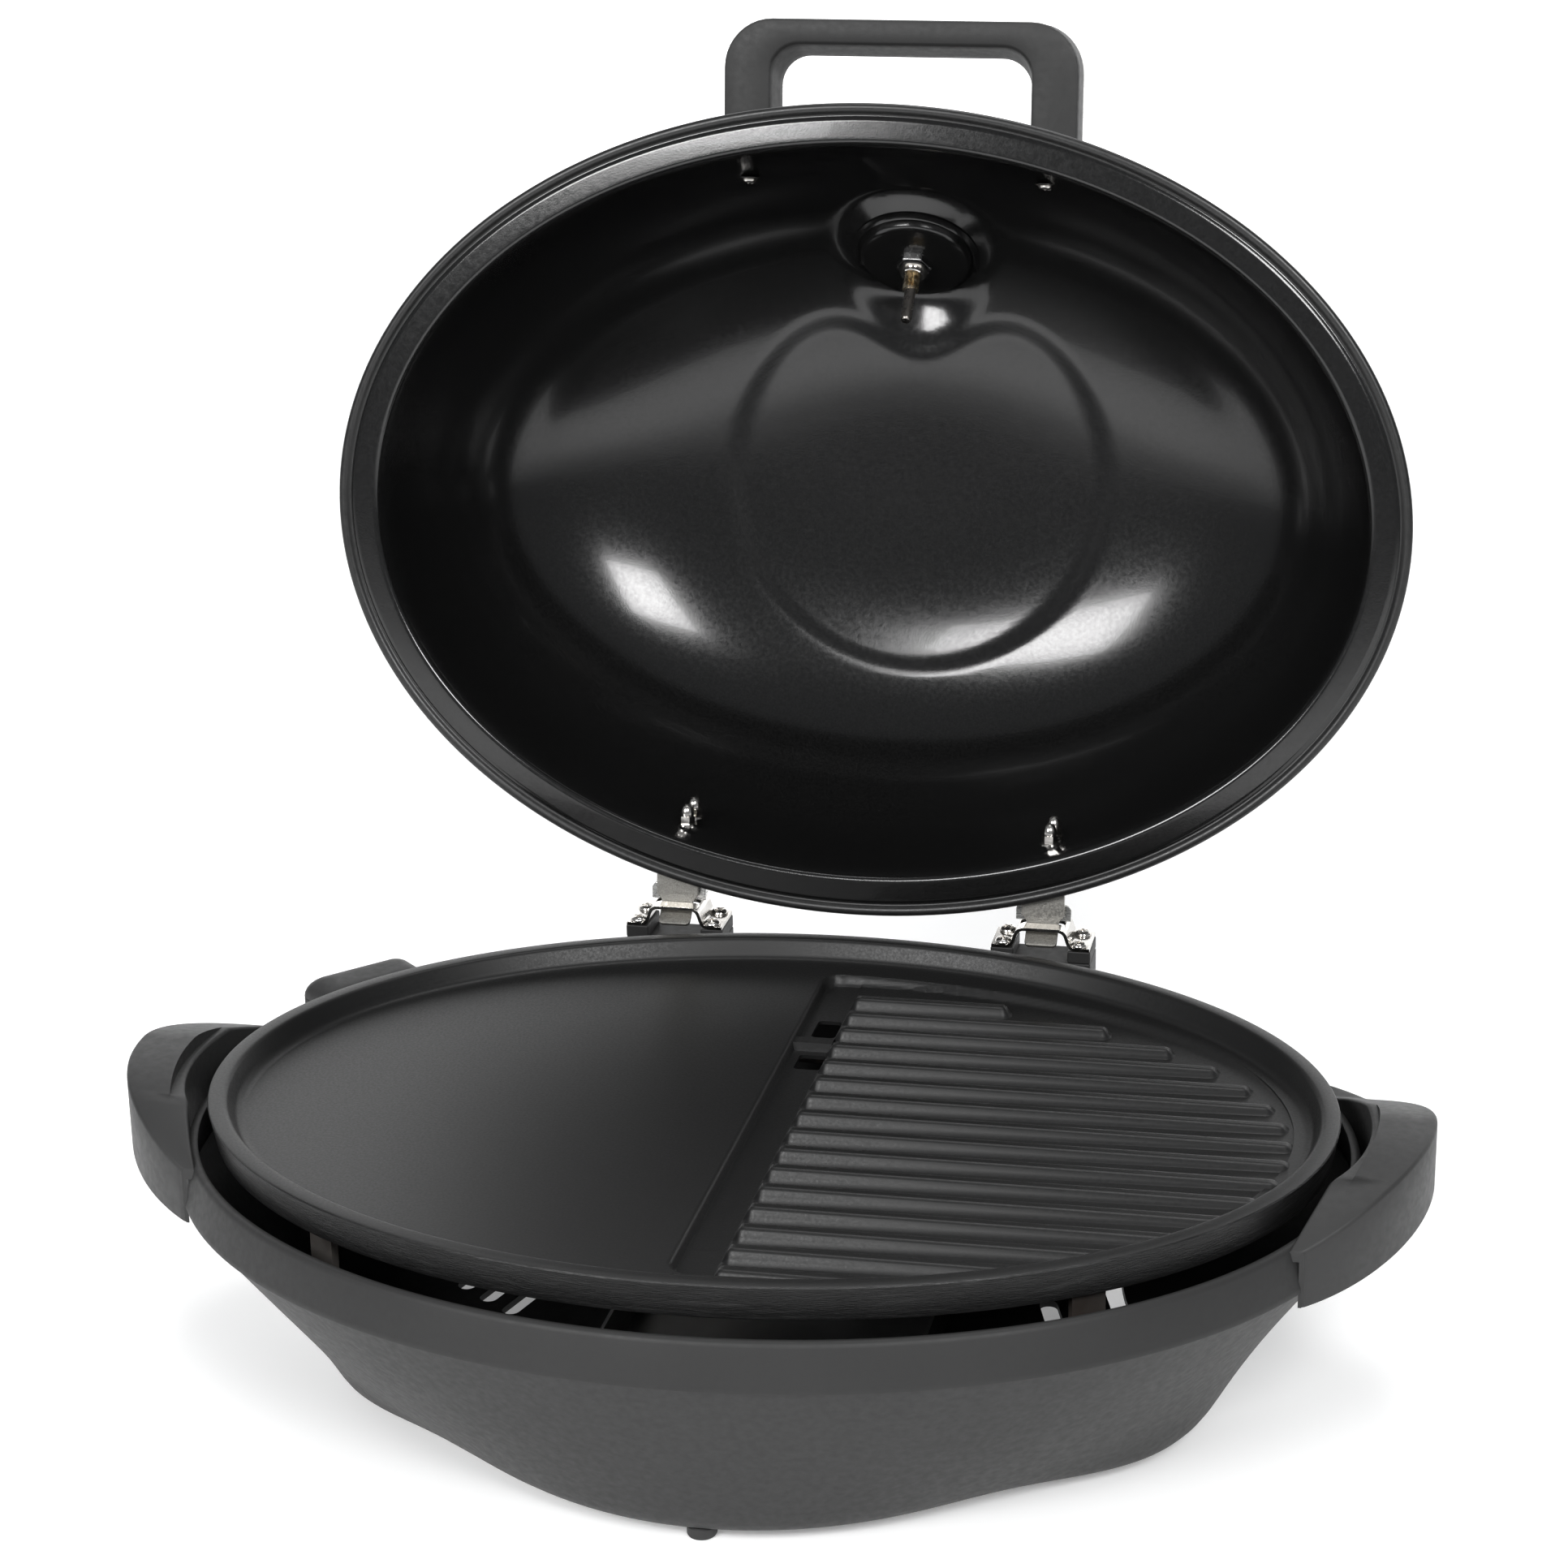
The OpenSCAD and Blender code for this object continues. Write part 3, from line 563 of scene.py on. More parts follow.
def make_plate_floor():
    xs = spaced(-220.0, 220.0, 3.0, 0.6, (EDGE_X, RIB_X - 2), 4.0)
    ys = spaced(-159.5, 159.5, 2.0, 0.7, (-148.5, 146.5), 5.0)
    a, b = PLATE_A - FLOOR_INSET, PLATE_B - FLOOR_INSET
    cells, index = Shape(), {}
    for j, y in enumerate(ys):
        reach = a * math.sqrt(max(1 - (y / b) ** 2, 0))
        for i, x in enumerate(xs):
            cx = min(max(x, -reach), reach)
            index[i, j] = len(cells.verts)
            cells.verts.append((cx, y, plate_height(cx, y)))
    for j in range(len(ys) - 1):
        for i in range(len(xs) - 1):
            quad = [index[i, j], index[i + 1, j], index[i + 1, j + 1], index[i, j + 1]]
            spread = {round(cells.verts[q][0], 4) for q in quad}
            if len(spread) > 1:
                cells.faces.append(tuple(quad))
    floor = piece("plate_floor", cells.verts, cells.faces, "plate", "base",
                  ["griddle_plate"])
    solid = floor.modifiers.new("Solidify", "SOLIDIFY")
    solid.thickness = 1.6 * MM
    solid.offset = -1
    holes = Shape()
    holes.prism(rounded(4.2, 94, 5.4, 9.2, 2.2), RIM_Z - 30, RIM_Z)
    holes.prism(rounded(4.2, 57.5, 5.8, 7.5, 1.6), RIM_Z - 30, RIM_Z)
    cut(floor, holes.verts, holes.faces)


def add_rib(shape, y0):
    """One rib along X at y0, from the gutter to the oval that the ribs' right ends follow."""
    end = 218 * math.sqrt(1 - ((y0 + 13) / 143) ** 2)
    length = end - RIB_X
    xs = [RIB_X + v for v in (-2.4, -1.6, -0.8, 0, 1.2, 3)]
    xs += [RIB_X + 3 + (length - 9) * k / 16 for k in range(1, 17)]
    xs += [end - 6 + v for v in (1.5, 3, 4.4, 5.3, 6)]
    rings = []
    for x in xs:
        start = smoothstep(-3.0, 1.4, x - RIB_X)
        stop = smoothstep(0, 4.2, end - x)
        taper = min((x - RIB_X + 3.4) / 4.2, (end - x + 0.9) / 4.5, 1)
        half = 5.6 * min(1, math.sqrt(max(taper, 0.02)))
        base = FLOOR_Z - channel_depth(x) - 0.25
        height = (RIB_TOP - base) * min(start, stop)
        ring = []
        for k in range(13):
            v = k / 6 - 1
            swell = 1 - smoothstep(0.3, 1.0, abs(v))
            ring.append((x, y0 + half * v, base + height * swell))
        rings.append(ring)
    shape.loft(rings, closed=False)


def make_ribs():
    shape = Shape()
    for i in range(RIB_COUNT):
        add_rib(shape, RIB_BACK - RIB_PITCH * i)
    piece("ribs", shape.verts, shape.faces, "plate", "base", ["griddle_plate"], sharp=60)


def make_gutter_bridge():
    """The low bar that parts the gutter's two openings."""
    bridge = Shape()
    rings = []
    for x in (-6.6, -5, 0, 5, 9.5, 11):
        ring = []
        for k in range(9):
            v = k / 4 - 1
            swell = 1 - smoothstep(0.55, 1.0, abs(v))
            ring.append((x, 75 + 6 * v, FLOOR_Z - 4.7 + 2.9 * swell))
        rings.append(ring)
    bridge.loft(rings, closed=False)
    piece("gutter_bridge", bridge.verts, bridge.faces, "plate", "base",
          ["griddle_plate"])


# ---- hinges ----

BRACKET_Y, BRACKET_D = HINGE_Y - 6, 22.0  # the bracket's front edge and its depth
BLOCK_TOP, BLOCK_HALF = RIM_Z - 4.5, 23.5
SHEET = 2.0  # thickness of the strap
STRAP_IN = 1.3  # inner radius of the strap's hook


def screw_places():
    return [(HINGE_X + sx * 17.75, BRACKET_Y + y) for sx in (-1, 1) for y in (3.5, 18.5)]


def arc_path(points, r, steps=6):
    """A path through 2D points with its corners rounded."""
    out = [points[0]]
    for a, b, c in zip(points, points[1:], points[2:]):
        va, vc = Vector(a) - Vector(b), Vector(c) - Vector(b)
        reach = min(r, va.length * 0.45, vc.length * 0.45)
        pa, pc = Vector(b) + va.normalized() * reach, Vector(b) + vc.normalized() * reach
        for k in range(steps + 1):
            t = k / steps
            out.append(tuple(pa * (1 - t) ** 2 + Vector(b) * 2 * t * (1 - t) + pc * t * t))
    return out + [points[-1]]


def offset_path(path, d):
    """The path moved sideways by d, to its left."""
    out = []
    for i, p in enumerate(path):
        a, b = Vector(path[max(i - 1, 0)]), Vector(path[min(i + 1, len(path) - 1)])
        t = (b - a).normalized()
        out.append((p[0] - t.y * d, p[1] + t.x * d))
    return out


def sheet_strip(path, thick, widths):
    """Rings of a bent sheet: path is (y, z), widths gives half the X width at each point."""
    above, below = offset_path(path, thick / 2), offset_path(path, -thick / 2)
    return [[(HINGE_X - w, *lo), (HINGE_X + w, *lo), (HINGE_X + w, *hi), (HINGE_X - w, *hi)]
            for lo, hi, w in zip(below, above, widths)]


def bracket_shape():
    """The right bracket: a sheet bent up over the slot, with a foot on each side."""
    roof, foot = HINGE_Z, BLOCK_TOP + 0.75
    pts = [(-23, foot), (-13.6, foot), (-10.8, roof), (10.8, roof), (13.6, foot), (23, foot)]
    path = arc_path(pts, 3.2)
    above, below = offset_path(path, 0.85), offset_path(path, -0.75)
    outline = [(HINGE_X + x, z) for x, z in above] + [(HINGE_X + x, z) for x, z in reversed(below)]
    rings = [[(x, y, z) for x, z in outline] for y in (BRACKET_Y, BRACKET_Y + BRACKET_D)]
    return Shape().loft(rings, caps=(True, True))


def slot_shape():
    """What is cut from the right bracket for the strap's hook."""
    low = (HINGE_X - 10.5, HINGE_Y + 0.9, HINGE_Z - 3)
    high = (HINGE_X + 10.5, HINGE_Y + 6.2, HINGE_Z + 3)
    return Shape().block(low, high)


def block_shape():
    """The right hinge block: a base, a post under each foot of the bracket, and a lip on the band."""
    left, right, back = HINGE_X - BLOCK_HALF, HINGE_X + BLOCK_HALF, HINGE_Y + 16
    shape = Shape().block((left, BRACKET_Y, BAND_LOW), (right, back, BLOCK_TOP - 6))
    for sx in (-1, 1):
        post = HINGE_X + sx * 18
        shape.block((post - 5.4, BRACKET_Y, BLOCK_TOP - 6.1), (post + 5.4, back, BLOCK_TOP))
    return shape.block((left, BRACKET_Y - 12, BAND_LOW), (right, BRACKET_Y, BAND_TOP + 0.6))


def tab_shape():
    """The right stop tab: a leaning flap on a foot."""
    lean = (
        Matrix.Translation((HINGE_X, HINGE_Y + 4.4, HINGE_Z + 1.05))
        @ Matrix.Rotation(math.radians(-7), 4, "X")
    )
    outline = [(-13, 0), (13, 0), (13, 5.5), (11.5, 7.6), (9, 8), (-9, 8), (-11.5, 7.6), (-13, 5.5)]
    rings = [[lean @ Vector((x, y, z)) for x, z in outline] for y in (0, 1.8)]
    shape = Shape().loft(rings, caps=(True, True))
    low = (HINGE_X - 12, HINGE_Y + 6.8, HINGE_Z + 1.05)
    high = (HINGE_X + 12, HINGE_Y + 14.4, HINGE_Z + 2.5)
    return shape.block(low, high)


def make_hinges():
    bracket, slot, block, tab, strap = (
        bracket_shape(), slot_shape(), block_shape(), tab_shape(), strap_shape()
    )
    for side, turn in (("right", lambda shape: shape), ("left", mirrored)):
        part = turn(block)
        bevel(piece(f"hinge_block_{side}_body", part.verts, part.faces, "plastic", "base",
                    [f"hinge_block_{side}"]), 0.8)
        part = turn(bracket)
        sheet = piece(f"hinge_bracket_{side}_sheet", part.verts, part.faces, "steel", "base",
                      [f"hinge_bracket_{side}"])
        part = turn(slot)
        cut(sheet, part.verts, part.faces)
        bevel(sheet, 0.3)
        part = turn(tab)
        bevel(piece(f"stop_tab_{side}_sheet", part.verts, part.faces, "cover", "base",
                    [f"stop_tab_{side}"]), 0.4)
        part = turn(strap)
        bevel(piece(f"hinge_strap_{side}_sheet", part.verts, part.faces, "strap", "lid",
                    [f"hinge_strap_{side}"], place=OPENED), 0.35)
    screws = Shape()
    for sx in (-1, 1):
        for k, (x, y) in enumerate(screw_places()):
            add_screw_head(screws, Matrix.Translation((sx * x, y, BLOCK_TOP + 1.6)), 0.3 + 0.5 * k)
    piece("bracket_screw_heads", screws.verts, screws.faces, "steel", "base",
          ["bracket_screws"])


def add_screw_head(shape, place, turn=0.3, n=64):
    """Domed head with a cross recess pressed into its rings."""
    r, h, recess = 4.0, 2.3, 1.1
    rows = [(0.6, -0.02), (0.97, 0), (1.0, 0.15), (0.98, 0.32), (0.92, 0.52), (0.83, 0.7), (0.72, 0.83)]
    rows += [(0.66 - 0.05 * k, 0.88 + 0.012 * k) for k in range(13)]
    rings = []
    for part, rise in rows:
        ring = []
        for i in range(n):
            a = math.tau * i / n
            u, v = abs(part * r * math.cos(a - turn)), abs(part * r * math.sin(a - turn))
            deep = rise > 0.8 and min(u, v) < 0.5 and max(u, v) < 2.3
            z = rise * h - (recess if deep else 0)
            ring.append(place @ Vector((part * r * math.cos(a), part * r * math.sin(a), z)))
        rings.append(ring)
    shape.loft(rings, caps=(True, True))


def strap_shape():
    """The right strap, lid closed: leg up the dome, run over the bracket, bend round the slot's
    edge, tongue under it."""
    mid = STRAP_IN + SHEET / 2
    path, widths = [], []
    leg = math.radians(3)
    corner_y = 161.8
    for k in range(5):
        h = 37.0 - 34.0 * k / 4
        path.append((corner_y - h * math.sin(leg), HINGE_Z + mid + h * math.cos(leg)))
        widths.append(10 if k else 8.4)
    for k in range(1, 5):
        a = math.pi / 2 * k / 4
        path.append((corner_y + 2.2 * (1 - math.cos(a)), HINGE_Z + mid + 2.2 * (1 - math.sin(a))))
        widths.append(10)
    for y, w in ((HINGE_Y - 8, 10), (HINGE_Y - 4.5, 10), (HINGE_Y - 2.6, 8.2), (HINGE_Y - 1.2, 7.5)):
        path.append((y, HINGE_Z + mid))
        widths.append(w)
    for k in range(8):
        a = math.radians(90 - 45 * k / 7)
        path.append((HINGE_Y + mid * math.cos(a), HINGE_Z + mid * math.sin(a)))
        widths.append(7.5)
    bend = Vector(path[-1])
    down = Vector((math.cos(math.pi / 4), -math.sin(math.pi / 4)))
    for d, w in ((5, 7.5), (8, 7.5), (9.3, 6.9), (9.9, 5.6)):
        path.append(tuple(bend + down * d))
        widths.append(w)
    return Shape().loft(sheet_strip(path, SHEET, widths), caps=(True, True))


# ---- lid ----

def dome_profile(a_in, b_in, h, steps):
    """(a, b, z) rows of the dome from its rim to near its top."""
    rows = []
    for k in range(steps + 1):
        t = math.pi / 2 * (k / steps) ** 0.9 * 0.9985
        side = math.cos(t) ** (2 / DOME_N)
        rows.append((a_in * side, b_in * side, LID_Z + h * math.sin(t) ** (2 / DOME_N)))
    return rows


DISC_R, DISC_Y, DISC_DEPTH = 94.5, -3, 1.9  # the disc pressed in the dome's crown
SEAT_R, SEAT_BLEND = 27, 43  # the thermometer's seat, and where it has faded into the dome
FROM_DIAL = DIAL.inverted()


def disc_step(x, y):
    """Depth of the pressed disc, which leaves a heart-shaped dip beside the thermometer."""
    dip = 30 * math.exp(-(x / 34) ** 2) if y < 0 else 0
    return DISC_DEPTH * smoothstep(-6, 6, DISC_R - dip - math.hypot(x, y - DISC_Y))


def pressed(x, y, z, seat):
    """A point of the dome after the disc and the seat of the thermometer are pressed in."""
    local = FROM_DIAL @ Vector((x, y, z - disc_step(x, y)))
    reach = math.hypot(local.x, local.y)
    if abs(local.z) < 60:
        local.z = mix(local.z, seat, 1 - smoothstep(SEAT_R, SEAT_BLEND, reach))
    return tuple(DIAL @ local)


def make_lid():
    n = 256
    under = [(2.6, 3.6), (1.1, 3.3), (0.2, 2.4), (0, 1.5), (0.35, 0.7), (1.2, 0.15), (2.2, 0), (3.3, 0.2),
             (4.2, 0.9), (4.8, 1.7), (5.6, 1.9), (6.3, 1.5), (7.2, 1.0), (8.2, 0.85), (14.6, 0.85),
             (15.8, 0.7), (16.8, 0.75), (17.9, 1.3), (18.6, 2.4), (19.0, 4.2)]
    rings = [oval(LID_A - i, LID_B - i, LID_Z + z, n) for i, z in under]
    inner = dome_profile(DOME_A - SKIN, DOME_B - SKIN, DOME_H - SKIN, 96)
    inner = [row for row in inner if row[2] > LID_Z + 6]
    outer = dome_profile(DOME_A, DOME_B, DOME_H, 72)
    outer = [row for row in outer if row[2] > LID_Z + 4]
    for rows, seat in ((inner, -5.5), (list(reversed(outer)), -4.0)):
        rings += [[pressed(*p, seat) for p in ring] for ring in oval_rings(rows, n)]
    over = [(17.4, 2.9), (14, 2.4), (7, 2.4), (4.4, 3.3)]
    rings += [oval(LID_A - i, LID_B - i, LID_Z + z, n) for i, z in over]
    joined = Shape().loft(rings, loop=True)
    bead_rows = range(10)
    face_mats = [1 if j in bead_rows else 0 for j in range(len(rings)) for _ in range(n)]
    # close the two crowns instead of leaving a bridge between them
    crown = len(under) + len(inner) - 1
    keep = [f for k, f in enumerate(joined.faces) if k // n != crown]
    face_mats = [m for k, m in enumerate(face_mats) if k // n != crown]
    keep.append(tuple(crown * n + i for i in range(n)))
    keep.append(tuple((crown + 1) * n + i for i in reversed(range(n))))
    face_mats += [0, 0]
    lid = piece("lid_dome", joined.verts, keep, ["lid", "bead"], "lid",
                ["lid_shell", "lid_rim"], place=OPENED, face_mats=face_mats, sharp=50)
    hole = Shape().lathe([(29.9, -40), (29.9, 40)], DIAL, 96)
    cut(lid, hole.verts, hole.faces, OPENED, sharp=50)


def make_well():
    under = [(4.2, -10.6), (23.2, -10.6), (25.2, -10.3), (26.6, -9.6), (27.3, -8.6), (27.7, -7.4),
             (28.6, -6.3), (30.3, -5.7), (31.4, -5.4)]
    over = [(31.4, -4.2), (30.0, -3.8), (28.9, -2.4), (28.5, -0.2), (28.4, -6.6), (27.4, -8.4),
            (25, -9.0), (4.2, -9.0)]
    shape = Shape().lathe(under + over, DIAL, 96)
    piece("thermometer_recess", shape.verts, shape.faces, "lid", "lid",
          ["thermometer_well"], place=OPENED)


MARKS, MARKS_A_LONG_ONE = 31, 5
SCALE_START, SCALE_SPAN = -45, 270  # degrees


def on_lid(name, shape, mats, stands_for=()):
    """A piece of the thermometer, which rides on the lid."""
    return piece(name, shape.verts, shape.faces, mats, "lid", stands_for, place=OPENED)


def make_thermometer_face():
    cup = Shape().lathe([(26.2, -6.8), (26.9, -6.2), (27, 2.6), (26.6, 3.6), (25.9, 4), (25.3, 3.6),
                         (25, 2.8), (25, -5), (4.2, -5), (4.2, -6.8)], DIAL, 96)
    on_lid("bezel", cup, "steel", ["thermometer_cup"])
    dial = Shape().lathe([(1.6, -2), (24.8, -2), (24.8, -1), (1.6, -1)], DIAL, 96)
    on_lid("dial_face", dial, "dial", ["thermometer_dial"])
    marks = Shape()
    for k in range(MARKS):
        angle = math.radians(SCALE_START + SCALE_SPAN * k / (MARKS - 1))
        turn = DIAL @ Matrix.Rotation(angle, 4, "Z")
        start, half = (19.6, 0.2) if k % MARKS_A_LONG_ONE else (17.5, 0.35)
        marks.block((start, -half, -1.02), (22.6, half, -0.94), turn)
    on_lid("dial_marks", marks, "print")
    glass = Shape().lathe([(24.9, 1.6), (24.9, 2.4), (20, 2.9), (10, 3.08), (0.3, 3.1), (0.3, 1.6)],
                          DIAL, 64)
    on_lid("dial_window", glass, "glass", ["thermometer_glass"])
    needle = Shape()
    tip = [(17, -0.25), (17, 0.25), (3, 0.8)]
    tail = [(-10, 0.8), (-16.6, 1.6), (-16.6, -1.6), (-10, -0.8), (3, -0.8)]
    needle.prism(tip + tail, -0.4, 0.2, DIAL)
    needle.lathe([(1.3, -3.6), (1.35, 0.1), (2.6, 0.15), (2.6, 0.5), (0.4, 0.6)], DIAL, 32)
    piece("needle_arm", needle.verts, needle.faces, "red", "needle",
          ["thermometer_needle"], place=OPENED)


def hexagon(r):
    return [(r * math.cos(math.tau * i / 6), r * math.sin(math.tau * i / 6)) for i in range(6)]


def make_thermometer_stem():
    """The part inside the dome: a nut, a jam nut on the thread, and the probe."""
    nut = Shape().prism(hexagon(9.0), -14.6, -8.7, DIAL)
    bevel(on_lid("gland_nut", nut, "black_nut", ["thermometer_nut"]), 0.7, 3)
    jam = Shape().lathe([(4.2, -15.0), (7.0, -15.0), (7.2, -15.3), (7.0, -16.2), (5.6, -16.4),
                         (5.6, -18.6), (5.2, -19.0), (4.0, -19)], DIAL, 40)
    on_lid("jam_nut", jam, "steel")
    threads, pitch = 34, 0.34
    rows = [(3.0, -9), (3.9, -9)]
    for k in range(threads):
        rows += [(3.95, -16 - pitch * k), (3.55, -16.17 - pitch * k)]
    rows += [(3.0, -27.6)]
    stem = Shape().lathe(rows, DIAL, 40)
    on_lid("stem_thread", stem, "brass", ["thermometer_stem"])
    probe = Shape().lathe([(2.4, -9), (2.7, -9.3), (2.7, -44.6), (2.5, -45.4), (2.0, -45.9), (0.3, -46)],
                          DIAL, 32)
    on_lid("probe_rod", probe, "probe", ["thermometer_probe"])


HANDLE_LOW, HANDLE_H = LID_Z + 80, 20.0  # the loop's underside and height on the closed lid
HANDLE_HALF, HANDLE_FRONT = 84.5, -225  # its outer half width and its far side
HANDLE_CORNER, HANDLE_INNER_CORNER = 23, 14
SCREW_X, SCREW_H = 71, 76.0  # the handle's screws, from the middle and above the rim
BOLT_HEIGHTS = (24, 38)  # the straps' bolts above the rim


def loop_outline(half, front, corner, back, n=10):
    """Open U of plan points from the right arm's back end round the front to the left arm's."""
    pts = [(half, back)]
    for k in range(n + 1):
        a = math.pi / 2 * k / n
        pts.append((half - corner + corner * math.cos(a), front + corner - corner * math.sin(a)))
    for k in range(n + 1):
        a = math.pi / 2 * k / n
        pts.append((-half + corner - corner * math.sin(a), front + corner - corner * math.cos(a)))
    return pts + [(-half, back)]


def loop_rings(low, high, inner_low, inner_high, edge, back=-132):
    """Closed sections of the handle: outer and inner outlines joined station by station."""
    def level(z, grow):
        t = (z - HANDLE_LOW) / HANDLE_H
        half, bar = mix(inner_low[0], inner_high[0], t), mix(inner_low[1], inner_high[1], t)
        outer = loop_outline(HANDLE_HALF - grow, HANDLE_FRONT + grow, HANDLE_CORNER - grow, back)
        inner = loop_outline(half + grow, HANDLE_FRONT + bar - grow, HANDLE_INNER_CORNER + grow, back)
        return [(x, y, z) for x, y in outer], [(x, y, z) for x, y in inner]

    walls = [level(low, edge), level(low + edge * 0.3, edge * 0.3), level(low + edge, 0)]
    walls += [level(mix(low, high, k / 4), 0) for k in (1, 2, 3)]
    walls += [level(high - edge, 0), level(high - edge * 0.3, edge * 0.3), level(high, edge)]
    outer = [w[0] for w in walls]
    inner = [w[1] for w in reversed(walls)]
    columns = outer + inner
    count = len(columns[0])
    return [[column[i] for column in columns] for i in range(count)]


def dome_cutter():
    """A solid dome a hair larger than the lid's, which trims what is fixed to it."""
    gap = 0.4
    rings = oval_rings(dome_profile(DOME_A + gap, DOME_B + gap, DOME_H + gap, 40), 128)
    return Shape().loft(rings, caps=(True, True))


def make_lid_handle():
    trim = dome_cutter()
    low, high = HANDLE_LOW, HANDLE_LOW + HANDLE_H
    core = Shape().loft(loop_rings(low, high, (62.5, 11.5), (60.0, 17.0), 1.4), caps=(True, True))
    loop = on_lid("handle_loop", core, "grip", ["lid_handle"])
    cut(loop, trim.verts, trim.faces, OPENED)
    lugs = Shape()
    top = HANDLE_LOW + 4
    for sx in (-1, 1):
        rings = []
        for y, bottom in ((-172, HANDLE_LOW - 3), (-168, HANDLE_LOW - 9), (-132, HANDLE_LOW - 11)):
            corners = ((62.8, bottom), (84.2, bottom), (84.2, top), (62.8, top))
            rings.append([(sx * x, y, z) for x, z in corners])
        lugs.loft(rings, caps=(True, True))
    lugs = on_lid("handle_lugs", lugs, "grip", ["lid_handle"])
    cut(lugs, trim.verts, trim.faces, OPENED)
    rings = loop_rings(high, high + 2, (60.6, 16.6), (60.6, 16.6), 0.6, -145)
    cap = Shape().loft(rings, caps=(True, True))
    on_lid("handle_trim", cap, "cover", ["handle_cover"])


def dome_y(x, h):
    """How far behind the middle the dome's inner face is, at x and h above the rim."""
    k = (1 - (h / (DOME_H - SKIN)) ** DOME_N) ** (1 / DOME_N)
    return (DOME_B - SKIN) * k * math.sqrt(1 - (x / ((DOME_A - SKIN) * k)) ** 2)


def make_fixings():
    z = LID_Z + SCREW_H
    heads = Shape()
    for sx in (-1, 1):
        place = (
            Matrix.Translation((sx * SCREW_X, -dome_y(SCREW_X, SCREW_H) + 0.9, z))
            @ Matrix.Rotation(math.radians(-90), 4, "X")
        )
        add_screw_head(heads, place)
        heads.lathe([(3.0, -0.9), (5.2, -0.9), (5.4, -0.5), (5.1, -0.1), (3.0, -0.05)], place, 32)
    on_lid("handle_screw_heads", heads, "steel", ["handle_screws"])

    nuts, bolts = Shape(), Shape()
    inward = Matrix.Rotation(math.radians(90), 4, "X")
    outward = Matrix.Rotation(math.radians(-90), 4, "X")
    for sx in (-1, 1):
        for h in BOLT_HEIGHTS:
            y = dome_y(HINGE_X, h)
            place = Matrix.Translation((sx * HINGE_X, y - 1.0, LID_Z + h)) @ inward
            nuts.lathe([(3.4, 0), (5.0, 0), (5.0, 0.9), (3.4, 0.9)], place, 32)
            nuts.prism(hexagon(3.9), 0.9, 4.6, place)
            nuts.lathe([(3.2, 4.4), (3.3, 5.6), (3.1, 7.4), (2.4, 9.1), (1.3, 10.1), (0.2, 10.4)],
                       place, 32)
            place = Matrix.Translation((sx * HINGE_X, y - 1.2, LID_Z + h)) @ outward
            bolts.lathe([(2, 0), (2, 12), (3.7, 12.2), (3.8, 12.6), (3.5, 14), (2.4, 14.7), (0.2, 14.9)],
                        place, 32)
    on_lid("acorn_nuts", nuts, "steel", ["cap_nuts"])
    on_lid("strap_bolt_heads", bolts, "steel", ["strap_bolts"])


# ---- controller ----

def case_outline(grow_in, corner, z):
    """Ring of the controller's case, drawn in from its full plan."""
    return [CONTROLLER @ Vector((x, y, z))
            for x, y in rounded(20, 0, 17 - grow_in, 27 - grow_in, corner)]


def make_controller():
    rows = ((2.5, -18), (0.8, -17.4), (0, -16), (0, 7.4), (0.3, 7.9))
    case = Shape().loft([case_outline(inset, 6, z) for inset, z in rows], caps=(True, True))
    case.prism(rounded(-5, 0, 9, 15, 2), 3.5, 11, CONTROLLER)
    piece("controller_case", case.verts, case.faces, "plastic", "controller",
          ["controller_housing"])
    rings = []
    for k in range(9):
        a = math.pi / 2 * k / 8
        inset = (1 - math.cos(a)) * 12
        rings.append(case_outline(inset, max(6 - inset * 0.3, 2), 8.3 + 9.6 * math.sin(a)))
    cap = Shape().loft(rings, caps=(True, True))
    piece("controller_lid", cap.verts, cap.faces, "plastic", "controller",
          ["controller_cover"])


def make_knob():
    axis = (
        CONTROLLER
        @ Matrix.Translation((0, 0, -6))
        @ Matrix.Rotation(math.radians(90), 4, "Y")
    )
    n, groove = 72, 0.35
    rings = []
    for r, z in ((10.9, 37.5), (11.4, 38), (11.4, 44.6), (10.9, 45.4), (10, 46), (6, 46.2)):
        ring = []
        for i in range(n):
            reach = r - groove * (i % 3 == 0) * (z < 45)
            a = math.tau * i / n
            ring.append(axis @ Vector((reach * math.cos(a), reach * math.sin(a), z)))
        rings.append(ring)
    knob = Shape().loft(rings, caps=(True, True))
    piece("knob_body", knob.verts, knob.faces, "rubber", "knob", ["control_knob"],
          sharp=60)
    mark = Shape().block((-10.4, -0.6, 46.1), (-5, 0.6, 46.5), axis)
    piece("knob_mark", mark.verts, mark.faces, "dial", "knob")


# ---- CAD nodes that keep their shape ----

def paint_nodes():
    finish = {"plate_supports": "element", "drip_tray": "tray", "heating_element": "element",
              "terminal_pins": "steel", "probe_socket": "tray", "controller_probe": "steel",
              "cord_gland": "rubber", "indicator_lens": "red"}
    for name, key in finish.items():
        mesh = frame["nodes"][name].data
        mesh.materials.clear()
        mesh.materials.append(MATS[key])
        smooth(mesh)


# ---- stage ----

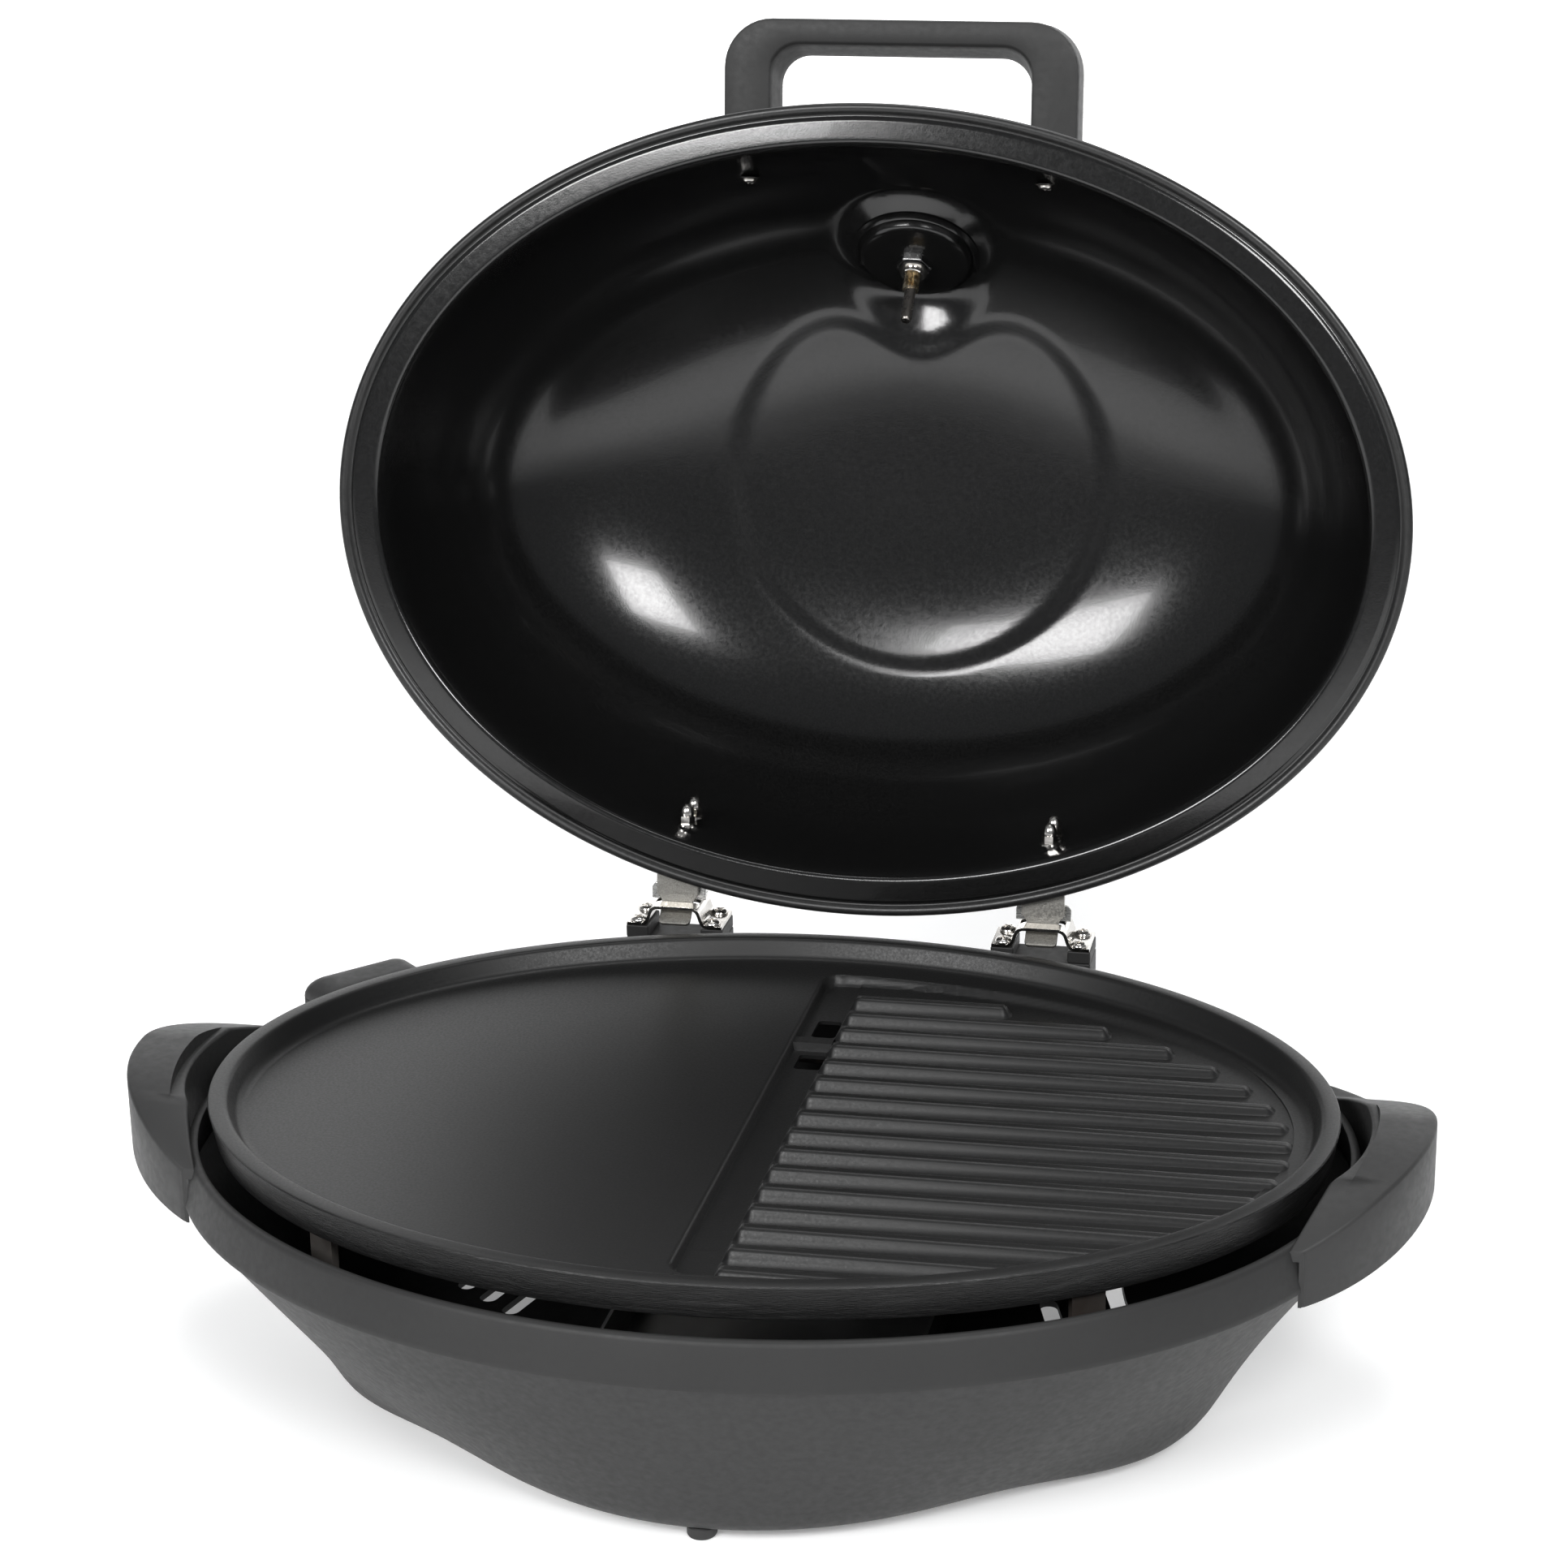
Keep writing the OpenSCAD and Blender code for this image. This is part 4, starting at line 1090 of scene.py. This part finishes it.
def panel(name, power, size, location, target):
    data = bpy.data.lights.new(name, "AREA")
    data.shape = "RECTANGLE"
    data.size, data.size_y = size
    data.energy = power
    light = bpy.data.objects.new(name, data)
    light.location = location
    light.rotation_euler = (Vector(target) - Vector(location)).to_track_quat("-Z", "Y").to_euler()
    bpy.context.scene.collection.objects.link(light)


def stage_plane(name, corners, glow):
    mesh = bpy.data.meshes.new(name)
    mesh.from_pydata(corners, [], [(0, 1, 2, 3)])
    mat = bpy.data.materials.new(name)
    mat.use_nodes = True
    bsdf = mat.node_tree.nodes["Principled BSDF"]
    bsdf.inputs["Base Color"].default_value = (0.9, 0.9, 0.9, 1)
    bsdf.inputs["Roughness"].default_value = 0.9
    bsdf.inputs["Emission Color"].default_value = (1, 1, 1, 1)
    bsdf.inputs["Emission Strength"].default_value = glow
    mesh.materials.append(mat)
    obj = bpy.data.objects.new(name, mesh)
    bpy.context.scene.collection.objects.link(obj)


def make_stage():
    stage_plane("floor", [(-6, -6, 0), (6, -6, 0), (6, 6, 0), (-6, 6, 0)], 0.25)
    stage_plane("backdrop", [(-6, 3.2, -0.5), (6, 3.2, -0.5), (6, 3.2, 5), (-6, 3.2, 5)], 0.9)
    world = bpy.data.worlds.new("world")
    bpy.context.scene.world = world
    world.use_nodes = True
    background = world.node_tree.nodes["Background"]
    background.inputs["Color"].default_value = (0.9, 0.92, 0.95, 1)
    background.inputs["Strength"].default_value = 0.25
    # the two boxes whose reflections lie left and right inside the open dome
    panel("right_box", 30, (0.62, 0.66), (0.906, -1.65, 1.51), (-0.139, 0.235, 0.245))
    panel("left_box", 34, (0.85, 0.6), (-0.848, -1.81, 1.30), (0.072, 0.245, 0.228))
    panel("top_box", 20, (1.2, 0.9), (0, 0.5, 2.7), (0, 0, 0.1))
    bpy.context.scene.view_settings.view_transform = "Standard"


def main():
    make_camera()
    make_tub()
    make_band()
    make_grips()
    make_feet()
    make_plate_rim()
    make_plate_floor()
    make_ribs()
    make_gutter_bridge()
    make_hinges()
    make_lid()
    make_well()
    make_thermometer_face()
    make_thermometer_stem()
    make_lid_handle()
    make_fixings()
    make_controller()
    make_knob()
    paint_nodes()
    make_stage()


main()
